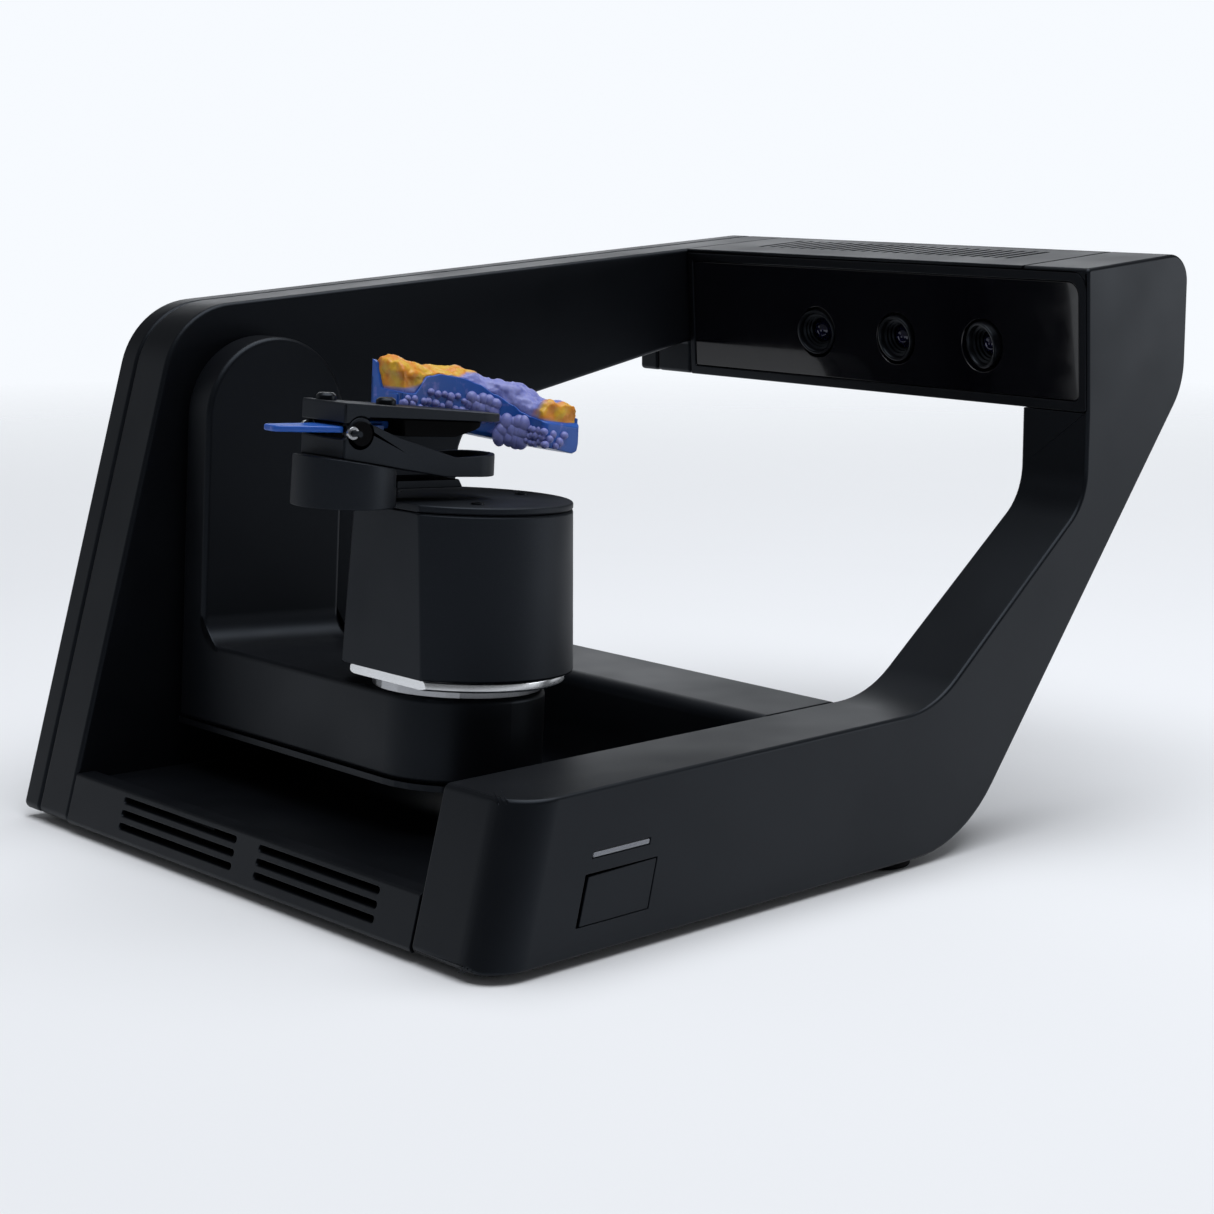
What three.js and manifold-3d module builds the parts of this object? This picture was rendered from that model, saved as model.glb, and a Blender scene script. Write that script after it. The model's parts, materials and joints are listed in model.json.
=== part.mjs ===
// Open-frame bench scanner: a tray-shaped base with two inward-leaning side frames that carry a
// camera head, and an L-shaped swing arm with a turntable, a sample clamp and a sample.
// Lengths are in millimetres. X runs from the user towards the head, Y from the near side
// to the far side, Z up. The near frame's foot corner is at X = 0, Y = 0.
import * as THREE from "three";
import { mergeVertices } from "three/addons/utils/BufferGeometryUtils.js";
import Module from "manifold-3d";

const wasm = await Module();
wasm.setup();

// ---- driving dimensions ----
const WIDTH = 320; // over both sides, at the front
const TOE_IN = 0.061; // how far each side leans inward for each mm towards the head
const FRONT_SLOPE = 0.28; // how far the front leans back for each mm of height
const TOP_AT_FRONT = 207.8; // height of the top line at X = 0
const TOP_RISE = 0.065; // rise of the top line for each mm towards the head
const RAIL_TOP = 59.4; // top of the near rail and of the rear rim
const RAIL_THICK = 44.4; // near frame thickness at the front
const RAIL_THINNING = 0.0006; // share of thickness lost for each mm towards the head
const FAR_THICK = 36.2; // far frame and its cover together
const FAR_INNER = WIDTH - FAR_THICK;
const COVER_THICK = 12.5; // far cover
const BACK = 402.5; // back of the head
const HEAD_FRONT = 333.4; // front of the head at its lower edge
const HEAD_BOTTOM = 170;
const HEAD_LEAN = 0.05; // how far the head's front leans forward for each mm of height
const HEAD_RAKE = HEAD_FRONT + HEAD_LEAN * HEAD_BOTTOM;
const GAP = 0.3; // between pieces that rest on one another

const HUB_X = 93; // swing axis, along Y
const HUB_Z = 165;
const SWING_AT_REST = 3.5; // degrees the arm is swung towards the user
const TABLE_Y = 128.8; // turntable axis, parallel to Z before the swing
const ARM_HALF = 34.5; // half the width of the arm
const ARM_BACK = 274.7;
const ARM_FACE = 258;
const FOOT_TOP = 71.7;
const FOOT_BOTTOM = 38.3;
const FOOT_LINER = 35.6; // underside of the arm's bottom cover
const RISER_BOTTOM = 79.5;
const RISER_TOP = 142.4;
const LID_TOP = 145.5;
const FACET = -37.2; // flat on the riser and lid where the clamp's puck hangs, from the table axis
const LENS_Z = 194.5;
const LENS_Y = { camera_left: 177.8, projector: 128.8, camera_right: 78.6 };
const CLAMP_HALF = 14; // half the width of the clamp
const CLAMP_LEFT = -67.6; // left end of both jaws
const EAR_INNER = 11.8; // inner face of the lower jaw's ears
const PIVOT_X = -60.2; // the clamp's pivot, from the turntable axis
const PIVOT_Z = 171.7;
const PUCK_X = -57.2; // axis of the clamp's puck
const PUCK_RADIUS = 19.7;
const CLAMP_KNOBS = [[-61.5, 7, 182.7], [-39, 0, 181.3]]; // on the upper jaw: X, Y, height

const top = (x) => TOP_AT_FRONT + TOP_RISE * x;

// ---- solid helpers ----
// Closed outline through [x, y, radius] corners, each corner rounded by its radius.
function outline(corners) {
  const points = corners.flatMap(([x, y, radius = 0], i) => {
    const at = new THREE.Vector2(x, y);
    const [px, py] = corners[(i + corners.length - 1) % corners.length];
    const [nx, ny] = corners[(i + 1) % corners.length];
    const before = new THREE.Vector2(px, py).sub(at).normalize();
    const after = new THREE.Vector2(nx, ny).sub(at).normalize();
    const half = Math.acos(THREE.MathUtils.clamp(before.dot(after), -1, 1)) / 2;
    return radius > 0 ? roundedCorner(at, before, after, half, radius) : [at];
  });
  return new THREE.Shape(points);
}

// Points of the arc that rounds one corner.
function roundedCorner(at, before, after, half, radius) {
  const reach = radius / Math.tan(half);
  const start = at.clone().addScaledVector(before, reach);
  const end = at.clone().addScaledVector(after, reach);
  const middle = before.clone().add(after).normalize();
  const centre = at.clone().addScaledVector(middle, radius / Math.sin(half));
  const a0 = Math.atan2(start.y - centre.y, start.x - centre.x);
  let turn = Math.atan2(end.y - centre.y, end.x - centre.x) - a0;
  turn = Math.atan2(Math.sin(turn), Math.cos(turn));
  const steps = Math.max(2, Math.ceil(Math.abs(turn) / 0.22));
  return Array.from({ length: steps + 1 }, (_, i) => {
    const a = a0 + (turn * i) / steps;
    return new THREE.Vector2(centre.x + radius * Math.cos(a), centre.y + radius * Math.sin(a));
  });
}

const extruded = (corners, depth) =>
  new THREE.ExtrudeGeometry(outline(corners), { depth, bevelEnabled: false });
const alongZ = (corners, z0, z1) => extruded(corners, z1 - z0).translate(0, 0, z0);
const alongY = (corners, y0, y1) =>
  extruded(corners, y1 - y0).rotateX(Math.PI / 2).translate(0, y1, 0);

// Corners are given as [y, z]; the solid runs along X.
function alongX(corners, x0, x1) {
  const turn = new THREE.Matrix4().makeBasis(
    new THREE.Vector3(0, 1, 0),
    new THREE.Vector3(0, 0, 1),
    new THREE.Vector3(1, 0, 0),
  );
  return extruded(corners, x1 - x0).applyMatrix4(turn).translate(x0, 0, 0);
}

const box = (x0, x1, y0, y1, z0, z1) =>
  new THREE.BoxGeometry(x1 - x0, y1 - y0, z1 - z0).translate(
    (x0 + x1) / 2,
    (y0 + y1) / 2,
    (z0 + z1) / 2,
  );
const rodX = (radius, y, z, x0, x1, sides = 32) =>
  new THREE.CylinderGeometry(radius, radius, x1 - x0, sides)
    .rotateZ(Math.PI / 2)
    .translate((x0 + x1) / 2, y, z);
const rodY = (radius, x, z, y0, y1, sides = 32) =>
  new THREE.CylinderGeometry(radius, radius, y1 - y0, sides).translate(x, (y0 + y1) / 2, z);
const post = (radius, x, y, z0, z1, sides = 32) =>
  new THREE.CylinderGeometry(radius, radius, z1 - z0, sides)
    .rotateX(Math.PI / 2)
    .translate(x, y, (z0 + z1) / 2);

// Solid of revolution about Z through [radius, z] points that start and end on the axis,
// or that close on themselves.
function turned(profile, sides = 48) {
  const points = profile.map(([r, z]) => new THREE.Vector2(r, z));
  return new THREE.LatheGeometry(points, sides).rotateX(Math.PI / 2);
}

function toSolid(geometry) {
  const bare = new THREE.BufferGeometry();
  const flat = geometry.index ? geometry.toNonIndexed() : geometry;
  bare.setAttribute("position", flat.getAttribute("position"));
  const merged = mergeVertices(bare, 1e-4);
  return new wasm.Manifold(
    new wasm.Mesh({
      numProp: 3,
      vertProperties: new Float32Array(merged.attributes.position.array),
      triVerts: new Uint32Array(merged.index.array),
    }),
  );
}

function toGeometry(solid) {
  const mesh = solid.getMesh();
  const geometry = new THREE.BufferGeometry();
  geometry.setAttribute("position", new THREE.BufferAttribute(mesh.vertProperties, 3));
  geometry.setIndex(new THREE.BufferAttribute(mesh.triVerts, 1));
  return geometry.toNonIndexed();
}

const join = (...parts) =>
  toGeometry(parts.map(toSolid).reduce((sum, next) => sum.add(next)));
const cut = (body, ...tools) =>
  toGeometry(tools.map(toSolid).reduce((sum, next) => sum.subtract(next), toSolid(body)));
const common = (a, b) => toGeometry(toSolid(a).intersect(toSolid(b)));

// Moves every vertex by a rule that takes its position and returns a new one.
function reshaped(geometry, rule) {
  const position = geometry.getAttribute("position");
  const p = new THREE.Vector3();
  for (let i = 0; i < position.count; i += 1) {
    p.fromBufferAttribute(position, i);
    rule(p);
    position.setXYZ(i, p.x, p.y, p.z);
  }
  return geometry;
}

const nearSide = (geometry) =>
  reshaped(geometry, (p) => {
    p.y = p.y * (1 - RAIL_THINNING * p.x) + TOE_IN * p.x;
  });
const farSide = (geometry) =>
  reshaped(geometry, (p) => {
    p.y -= TOE_IN * p.x;
  });
const raked = (geometry) =>
  reshaped(geometry, (p) => {
    p.x += HEAD_RAKE - HEAD_LEAN * p.z;
  });

// Spur gear about Z, from its pitch radius and tooth count.
function gear(teeth, pitchRadius, z0, z1, turn = 0) {
  const module = (2 * pitchRadius) / teeth;
  const steps = [
    [-0.27, -1.15],
    [-0.13, 0.9],
    [0.13, 0.9],
    [0.27, -1.15],
  ];
  const corners = [];
  for (let tooth = 0; tooth < teeth; tooth += 1) {
    steps.forEach(([share, height]) => {
      const angle = turn + ((tooth + share) * 2 * Math.PI) / teeth;
      const radius = pitchRadius + height * module;
      corners.push([radius * Math.cos(angle), radius * Math.sin(angle)]);
    });
  }
  return alongZ(corners, z0, z1);
}

// ---- assembly helpers ----
const scanner = new THREE.Group();
const arm = new THREE.Group();
const armFrame = new THREE.Group();
const table = new THREE.Group();
scanner.add(arm);
arm.position.set(HUB_X, 0, HUB_Z);
arm.rotation.y = THREE.MathUtils.degToRad(SWING_AT_REST);
arm.add(armFrame);
armFrame.position.set(-HUB_X, 0, -HUB_Z);
armFrame.add(table);
table.position.set(HUB_X, TABLE_Y, 0);

const COLOURS = {
  shell: 0x1b1c20,
  dark: 0x101114,
  gloss: 0x050507,
  rubber: 0x0c0c0c,
  board: 0x0d4a2c,
  steel: 0x9a9ca0,
  silver: 0xd8dadd,
  glass: 0x1a2436,
  light: 0xf2f4ff,
  tray: 0x3b5fc4,
  silicone: 0xe8932a,
};

function piece(name, geometry, colour, parent = scanner) {
  geometry.computeVertexNormals();
  const metalness = colour === "steel" || colour === "silver" ? 0.9 : 0;
  const material = new THREE.MeshStandardMaterial({
    color: COLOURS[colour],
    roughness: 0.5,
    metalness,
  });
  const mesh = new THREE.Mesh(geometry, material);
  mesh.name = name;
  parent.add(mesh);
}

// ---- near frame: rail, leg and near end of the head ----
function nearFrame() {
  const side = [
    [0, 0, 3],
    [FRONT_SLOPE * RAIL_TOP, RAIL_TOP, 3],
    [237.3, RAIL_TOP, 50],
    [HEAD_FRONT, 133.4, 25],
    [HEAD_FRONT, HEAD_BOTTOM],
    [330.4, top(330.4), 2],
    [BACK, top(BACK), 12],
    [BACK, 177, 30],
    [257.4, 0, 62],
  ];
  const plan = [
    [0, 0, 18],
    [500, 0],
    [500, 70],
    [0, 70],
  ];
  const cornered = reshaped(alongZ(plan, -5, 250), (p) => {
    p.x += FRONT_SLOPE * p.z;
  });
  const body = common(nearSide(alongY(side, 0, RAIL_THICK)), nearSide(cornered));
  const pocket = nearSide(box(34, 205, 6, 38, -2, 50));
  const panel = raked(
    alongX([[21.3, 169.7, 2], [80, 169.7], [80, 227.9], [21.3, 227.9, 7.3]], -20, 7.7),
  );
  const light = nearSide(alongY([[49.6, 34.5], [78, 34.5], [78.6, 36.9], [50.3, 36.9]], -3, 8));
  const button = nearSide(
    alongY([[41.5, 10.7], [77.3, 10.7], [82, 29.3], [46.5, 29.3]], -3, 8),
  );
  return cut(body, pocket, panel, light, button);
}

// ---- far frame: wall, beam and far end of the head ----
const FAR_SIDE = [
  [0, 0, 3],
  [59.3, 211.7, 35],
  [BACK, top(BACK), 12],
  [BACK, HEAD_BOTTOM, 12],
  [HEAD_FRONT, HEAD_BOTTOM],
  [HEAD_FRONT, 185.4],
  [200, 156.8, 26],
  [194, RAIL_TOP, 14],
  [222, RAIL_TOP, 4],
  [240, 0, 3],
];
const FAR_POCKET = [
  [9, 6, 4],
  [63.5, 204.5, 28],
  [322, 222, 5],
  [322, 190, 5],
  [195.5, 162.5, 22],
  [189.5, 54, 4],
  [216, 54, 4],
  [231, 6, 4],
];

function farFrame() {
  const split = WIDTH - COVER_THICK;
  const wall = farSide(alongY(FAR_SIDE, FAR_INNER, split - GAP));
  const pocket = farSide(alongY(FAR_POCKET, FAR_INNER + 4, split + 2));
  const boss = rodY(30, HUB_X, HUB_Z, ARM_BACK + 0.5, 280, 48);
  const bore = rodY(18.3, HUB_X, HUB_Z, 260, 300, 40);
  return cut(join(cut(wall, pocket), boss), bore);
}

function farCover() {
  const split = WIDTH - COVER_THICK;
  const shell = farSide(alongY(FAR_SIDE, split, WIDTH));
  const hollow = farSide(alongY(FAR_POCKET, split - 2, WIDTH - 3.5));
  return cut(shell, hollow);
}

// Plan between the two side frames, with a gap at each, from x0 to x1.
const between = (x0, x1, z0, z1, clear = GAP) => {
  const near = (x) => RAIL_THICK * (1 - RAIL_THINNING * x) + TOE_IN * x + clear;
  const far = (x) => FAR_INNER - TOE_IN * x - clear;
  const plan = [
    [x0, near(x0)],
    [x1, near(x1)],
    [x1, far(x1)],
    [x0, far(x0)],
  ];
  return alongZ(plan, z0, z1);
};

// ---- base tray: sill with vent slots, sunk floor and rear rim ----
function baseTray() {
  const skin = [
    [0, 0, 2],
    [FRONT_SLOPE * 21, 21, 1.5],
    [14, 21, 1.5],
    [18, 18, 2],
    [166, 18, 14],
    [176, RAIL_TOP, 7],
    [221.6, RAIL_TOP, 5],
    [221.6, 0],
  ];
  const hollow = [
    [5, -2],
    [9.9, 17.9],
    [14.5, 17.9],
    [18, 15],
    [169, 15, 11],
    [179.5, 56, 4],
    [218.5, 56, 2],
    [218.5, -2],
  ];
  const body = common(alongY(skin, 20, 300), between(-1, 225, -1, 70));
  const slots = [17.2, 12.1, 7].flatMap((z) => [
    box(-6, 9.6, 161, 243.5, z - 1.3, z + 1.3),
    box(-6, 9.6, 68, 145.5, z - 1.3, z + 1.3),
  ]);
  const rearSlots = Array.from({ length: 8 }, (_, i) =>
    box(216, 224, 80 + 10 * i, 84 + 10 * i, 16, 44),
  );
  const inlet = box(216, 224, 193, 207.6, 12.5, 27.5);
  const usb = box(216, 224, 222, 236, 13, 26);
  return cut(body, alongY(hollow, 10, 310), inlet, usb, ...slots, ...rearSlots);
}

function baseParts() {
  piece("near_frame", nearFrame(), "shell");
  piece("far_frame", farFrame(), "shell");
  piece("far_cover", farCover(), "shell");
  piece("base_tray", baseTray(), "shell");
  piece("bottom_cover", between(6.5, 218.2, 0.3, 2.6), "dark");
  piece("rail_cover", nearSide(box(34.3, 204.7, 6.3, 37.7, 0.3, 2.6)), "dark");
  const feet = [[21, 21], [222, 27], [21, 295.5], [205, 283]];
  feet.forEach(([x, y], i) => {
    const foot = turned([[0, -3.5], [9.5, -3.5], [11, -2.5], [11, -0.3], [0, -0.3]], 32);
    piece(`foot_${i + 1}`, foot.translate(x, y, 0), "rubber");
  });
}

// ---- head: housing, vented top, bezel, window and optics ----
function headHousing() {
  const section = [
    [341.2, 170],
    [BACK, 170, 12],
    [BACK, top(BACK), 12],
    [388, top(388)],
    [388, top(388) - 3.2],
    [399.5, top(388) - 3.2, 8],
    [399.5, 173, 9],
    [341.2, 173],
  ];
  return common(alongY(section, 10, 310), between(300, 420, 160, 240));
}

function headTopCover() {
  const section = [
    [330.9, 227.9],
    [344, 228.4],
    [387.7, 230.6],
    [387.7, top(387.7)],
    [330.5, top(330.5), 0.6],
  ];
  const plate = common(alongY(section, 10, 310), between(300, 420, 160, 240));
  const slots = Array.from({ length: 24 }, (_, i) =>
    box(352, 380, 82 + 6.6 * i, 84.6 + 6.6 * i, 220, 240),
  );
  return cut(plate, ...slots);
}

function headPanel() {
  const far = FAR_INNER - TOE_IN * (HEAD_FRONT + 8) - GAP;
  const frame = alongX([[21.6, 170, 1.7], [far, 170], [far, 227.6], [21.6, 227.6, 7]], 0, 7.4);
  const opening = alongX(
    [[25.4, 174.2, 3], [far - 3.2, 174.2, 1], [far - 3.2, 223.8, 1], [25.4, 223.8, 6]],
    -2,
    10,
  );
  piece("front_bezel", raked(cut(frame, opening)), "gloss");
  const pane = alongX(
    [[25.7, 174.5, 2.7], [far - 3.5, 174.5, 0.7], [far - 3.5, 223.5, 0.7], [25.7, 223.5, 5.7]],
    0.5,
    3.5,
  );
  const holes = Object.values(LENS_Y).map((y) => rodX(11.4, y, LENS_Z, -8, 12, 40));
  piece("front_window", raked(cut(pane, ...holes)), "gloss");
}

// Puts a solid turned about Z (front at z = 0, back at +z) into the head, aimed at the table.
function aimed(geometry, y, toe, down) {
  const rad = THREE.MathUtils.degToRad;
  return geometry
    .rotateY(Math.PI / 2)
    .rotateY(rad(-down))
    .rotateZ(rad(toe))
    .translate(HEAD_RAKE - HEAD_LEAN * LENS_Z + 0.4, y, LENS_Z);
}

function opticsParts() {
  const barrel = [
    [0, 6],
    [5.6, 6],
    [5.8, 3],
    [8.3, 1],
    [9, -0.9],
    [10.1, -0.9],
    [10.1, 10],
    [8.5, 10],
    [8.5, 18.5],
    [0, 18.5],
  ];
  const lens = [
    [0, 2.4],
    [2.2, 2.7],
    [4, 3.6],
    [5.2, 4.8],
    [5.2, 5.7],
    [0, 5.7],
  ];
  const aim = { camera_left: 11, projector: 0, camera_right: -11 };
  Object.entries(aim).forEach(([name, toe]) => {
    const lathe = (profile) => aimed(turned(profile, 32), LENS_Y[name], toe, 9);
    piece(`${name}_barrel`, lathe(barrel), "dark");
    piece(`${name}_lens`, lathe(lens), "glass");
  });
  const plate = box(353, 356, 58, 200, 174, 214);
  const lugs = [60, 190].map((y) => box(352, 362, y, y + 8, 173.3, 176));
  piece("optics_bracket", join(plate, ...lugs), "steel");
}

// ---- controls on the near rail ----
function controlParts() {
  const light = alongY([[49.9, 34.8], [77.7, 34.8], [78.2, 36.6], [50.5, 36.6]], 0.1, 5.8);
  piece("status_light", nearSide(light), "light");
  const outer = [
    [43.1, 11, 0.5],
    [77.1, 11, 0.5],
    [81.7, 28.9, 0.5],
    [47.9, 28.3, 1],
  ];
  const face = alongY(outer, 0.2, 4.5);
  const stem = rodY(2, 67, 20, 4.4, 6.4, 20);
  piece("power_button", nearSide(join(face, stem)), "shell");
  const plate = box(46, 84, 10.6, 12.2, 6, 42);
  const key = rodY(2.4, 67, 20, 8.2, 10.7, 20);
  const lamp = box(52, 76, 7, 10.7, 34.6, 36.8);
  const corners = [[48, 9], [82, 9], [48, 39], [82, 39]];
  const legs = corners.map(([x, z]) => rodY(1.4, x, z, 6.3, 10.7, 12));
  piece("light_board", nearSide(join(plate, key, lamp, ...legs)), "board");
}

// ---- electronics in the base ----
function electronicsParts() {
  const board = box(70, 160, 80, 190, 6, 7.6);
  const chips = [
    box(90, 108, 100, 118, 7.5, 9.6),
    box(120, 134, 140, 162, 7.5, 9.2),
    box(76, 84, 130, 170, 7.5, 12.6),
    box(140, 154, 90, 104, 7.5, 13.4),
  ];
  const corners = [[74, 84], [156, 84], [74, 186], [156, 186]];
  const legs = corners.map(([x, y]) => post(2, x, y, 2.9, 6.1, 12));
  piece("main_board", join(board, ...chips, ...legs), "board");
  const supply = box(184, 186, 84, 172, 3, 46);
  const parts = [
    box(185.9, 204, 96, 120, 8, 36),
    box(185.9, 198, 128, 140, 8, 30),
    box(185.9, 200, 148, 166, 8, 26),
    box(184, 206, 86, 92, 3, 5),
    box(184, 206, 164, 170, 3, 5),
  ];
  piece("power_board", join(supply, ...parts), "board");
  const frame = cut(box(20, 60, 200, 240, 3, 13), post(18.5, 40, 220, 0, 20, 40));
  const spider = join(box(20.5, 59.5, 219, 221, 3, 4.2), box(39, 41, 200.5, 239.5, 3, 4.2));
  piece("fan_housing", join(frame, spider, post(7, 40, 220, 3, 5.2, 24)), "dark");
  const hub = post(8, 40, 220, 5.5, 12.6, 32);
  const blades = Array.from({ length: 7 }, (_, i) =>
    new THREE.BoxGeometry(10.6, 1, 7)
      .rotateX(0.6)
      .translate(12.4, 0, 9)
      .rotateZ((i * 2 * Math.PI) / 7)
      .translate(40, 220, 0),
  );
  piece("fan_rotor", join(hub, ...blades), "dark");
  socketParts();
}

// Power inlet and data socket in the rear rim.
function socketParts() {
  const jack = cut(box(204, 222.4, 193.4, 207.2, 12.9, 27.1), rodX(4, 200.3, 20, 210, 224, 24));
  const pin = rodX(1, 200.3, 20, 209.5, 220.5, 12);
  const inletLeg = box(206, 212, 196, 204, 2.9, 13);
  piece("power_inlet", join(jack, pin, inletLeg), "dark");
  const shield = cut(
    box(206, 222.4, 222.4, 235.6, 13.4, 25.6),
    box(210, 224, 224.4, 233.6, 15.4, 23.6),
  );
  const tongue = box(209, 219, 227, 231, 18, 20.2);
  const socketLeg = box(208, 214, 225, 233, 2.9, 13.5);
  piece("usb_port", join(shield, tongue, socketLeg), "steel");
}

// ---- swing drive in the far frame ----
function swingParts() {
  const race = rodY(18, HUB_X, HUB_Z, 276, 281.6, 36);
  const raceBore = rodY(12.35, HUB_X, HUB_Z, 270, 290, 36);
  piece("swing_bearing", cut(race, raceBore), "steel");
  const upright = (geometry, x) => geometry.rotateX(-Math.PI / 2).translate(x, 0, HUB_Z);
  const wheel = upright(gear(48, 28.8, 284.7, 290.2), 0);
  const spindle = rodY(12, 0, HUB_Z, 262.3, 284.9, 40);
  const shaft = join(wheel, spindle).translate(HUB_X, 0, 0);
  piece("swing_shaft", shaft, "steel");
  const pinion = upright(gear(12, 7.2, 284.7, 290.2, Math.PI / 12), 0);
  const stub = rodY(2.5, 0, HUB_Z, 290, 291.6, 16);
  piece("swing_pinion", join(pinion, stub).translate(HUB_X + 36.2, 0, 0), "steel");
  const motor = box(HUB_X + 18.7, HUB_X + 53.7, 291.9, 306.8, HUB_Z - 17.5, HUB_Z + 17.5);
  const legs = [-15, 15].map((z) => rodY(2.2, HUB_X + 51.2, HUB_Z + z, 279.5, 292, 12));
  piece("swing_motor", join(motor, ...legs), "dark");
}

// ---- swing arm ----
function armShell() {
  const x0 = HUB_X - ARM_HALF;
  const x1 = HUB_X + ARM_HALF;
  const round = ARM_HALF - 0.01;
  const crown = HUB_Z + ARM_HALF;
  const face = [
    [x0, FOOT_BOTTOM],
    [x1, FOOT_BOTTOM],
    [x1, crown, round],
    [x0, crown, round],
  ];
  const plate = alongY(face, ARM_FACE, ARM_BACK);
  const foot = alongZ(footPlan(0), FOOT_BOTTOM, FOOT_TOP);
  const web = alongX(
    [
      [ARM_FACE + 1, FOOT_TOP - 1],
      [ARM_FACE + 1, FOOT_TOP + 12],
      [ARM_FACE, FOOT_TOP + 12],
      [ARM_FACE, FOOT_TOP, 12],
      [ARM_FACE - 12, FOOT_TOP],
      [ARM_FACE - 12, FOOT_TOP - 1],
    ],
    x0,
    x1,
  );
  const hollow = alongZ(footPlan(4.5), FOOT_BOTTOM - 2, FOOT_TOP - 4.7);
  const bore = post(14.3, HUB_X, TABLE_Y, 60, 80, 40);
  const socket = rodY(12.3, HUB_X, HUB_Z, 262, 280, 40);
  return cut(join(plate, foot, web), hollow, bore, socket);
}

// Plan of the foot, moved in by an inset: straight sides and a half-round end.
function footPlan(inset) {
  const half = ARM_HALF - inset;
  const end = TABLE_Y - half;
  const back = ARM_BACK - 1.4 * inset;
  return [
    [HUB_X - half, back],
    [HUB_X - half, end, half - 0.01],
    [HUB_X + half, end, half - 0.01],
    [HUB_X + half, back],
  ];
}

function armParts() {
  piece("arm_shell", armShell(), "shell", armFrame);
  const cover = alongZ(footPlan(0), FOOT_LINER, FOOT_BOTTOM - GAP);
  piece("arm_bottom_cover", cover, "dark", armFrame);
  const race = post(14, HUB_X, TABLE_Y, 67.2, 71.3, 36);
  const raceBore = post(8.35, HUB_X, TABLE_Y, 60, 80, 36);
  piece("turn_bearing", cut(race, raceBore), "steel", armFrame);
  const y = TABLE_Y + 32.7;
  const motor = box(HUB_X - 17.5, HUB_X + 17.5, y - 17.5, y + 17.5, 39.6, 55);
  const legs = [-14, 14].map((x) => post(2.4, HUB_X + x, y + 15, 54.5, 66.7, 12));
  piece("turn_motor", join(motor, ...legs), "dark", armFrame);
  const pinion = join(gear(12, 7.5, 58, 63, Math.PI / 12), post(2.5, 0, 0, 55.3, 58.2, 16));
  piece("turn_pinion", pinion.rotateZ(Math.PI / 2).translate(HUB_X, y, 0), "steel", armFrame);
}

// ---- turntable, riser and lid ----
function tableParts() {
  const wheel = gear(40, 25, 58, 63).rotateZ(Math.PI / 2);
  const hub = turned([[0, 46], [8, 46], [8, 72], [33, 72], [33, 75], [0, 75]], 40);
  piece("turn_shaft", join(wheel, hub), "steel", table);
  const band = [
    [0, 75.3],
    [40.6, 75.3],
    [41.7, 76.1],
    [41.7, 78.5],
    [41, 79.2],
    [0, 79.2],
  ];
  const bandFlat = box(-60, FACET + 3, -50, 50, 60, 90);
  piece("turn_ring", cut(turned(band, 64), bandFlat), "silver", table);
  const side = [
    [0, RISER_BOTTOM],
    [44.4, RISER_BOTTOM],
    [45, 80.4],
    [42.3, RISER_TOP - 0.5],
    [41.6, RISER_TOP],
    [0, RISER_TOP],
  ];
  const inside = turned(
    [[0, RISER_BOTTOM - 2], [33.5, RISER_BOTTOM - 2], [33.5, 139.5], [0, 139.5]],
    40,
  );
  const flat = box(-60, FACET, -50, 50, 60, 150);
  piece("riser", cut(turned(side, 64), inside, flat), "shell", table);
  const disc = [
    [0, RISER_TOP + GAP],
    [42, RISER_TOP + GAP],
    [42.3, RISER_TOP + 0.7],
    [42.3, LID_TOP - 0.8],
    [41.5, LID_TOP],
    [0, LID_TOP],
  ];
  const places = [-118, 2, 122].map((deg) => {
    const a = THREE.MathUtils.degToRad(deg);
    return [29 * Math.cos(a), 29 * Math.sin(a)];
  });
  const wells = places.map(([x, y]) => post(2.8, x, y, 144, 150, 16));
  piece("lid", cut(turned(disc, 64), flat, ...wells), "shell", table);
  places.forEach(([x, y], i) => {
    const socket = post(1.2, x, y, 145, 150, 6);
    const head = cut(post(2.5, x, y, 144.3, 146.3, 20), socket);
    piece(`lid_screw_${i + 1}`, head, "dark", table);
  });
}

// ---- sample clamp on the turntable: fixed lower jaw, hinged upper jaw ----
// Plan of a clamp piece: nearly square at its left end, half-round at its tip.
const jawPlan = (half, x0, x1, z0, z1) => {
  const plan = [
    [x0, -half, 1],
    [x1, -half, half - 0.01],
    [x1, half, half - 0.01],
    [x0, half, 1],
  ];
  return alongZ(plan, z0, z1);
};

// Rods about the clamp's pivot, one on each side, from one distance off the centre to another.
const pivotRods = (radius, from, to, sides) => [
  rodY(radius, PIVOT_X, PIVOT_Z, -to, -from, sides),
  rodY(radius, PIVOT_X, PIVOT_Z, from, to, sides),
];

function clampParts() {
  piece("clamp_puck", clampPuck(), "shell", table);
  piece("clamp_bridge", clampBridge(), "dark", table);
  piece("clamp_lower", clampLower(), "shell", table);
  piece("clamp_upper", clampUpper(), "shell", table);
  const pad = [
    [-39, 170.2, 1],
    [-14, 169.7, 5],
    [0, 173.2, 2],
    [3, 175],
    [-39, 176.6],
  ];
  const padPlan = jawPlan(11.4, -39, 3.5, 160, 180);
  piece("clamp_pad", common(alongY(pad, -11.4, 11.4), padPlan), "rubber", table);
  clampFasteners();
}

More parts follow.
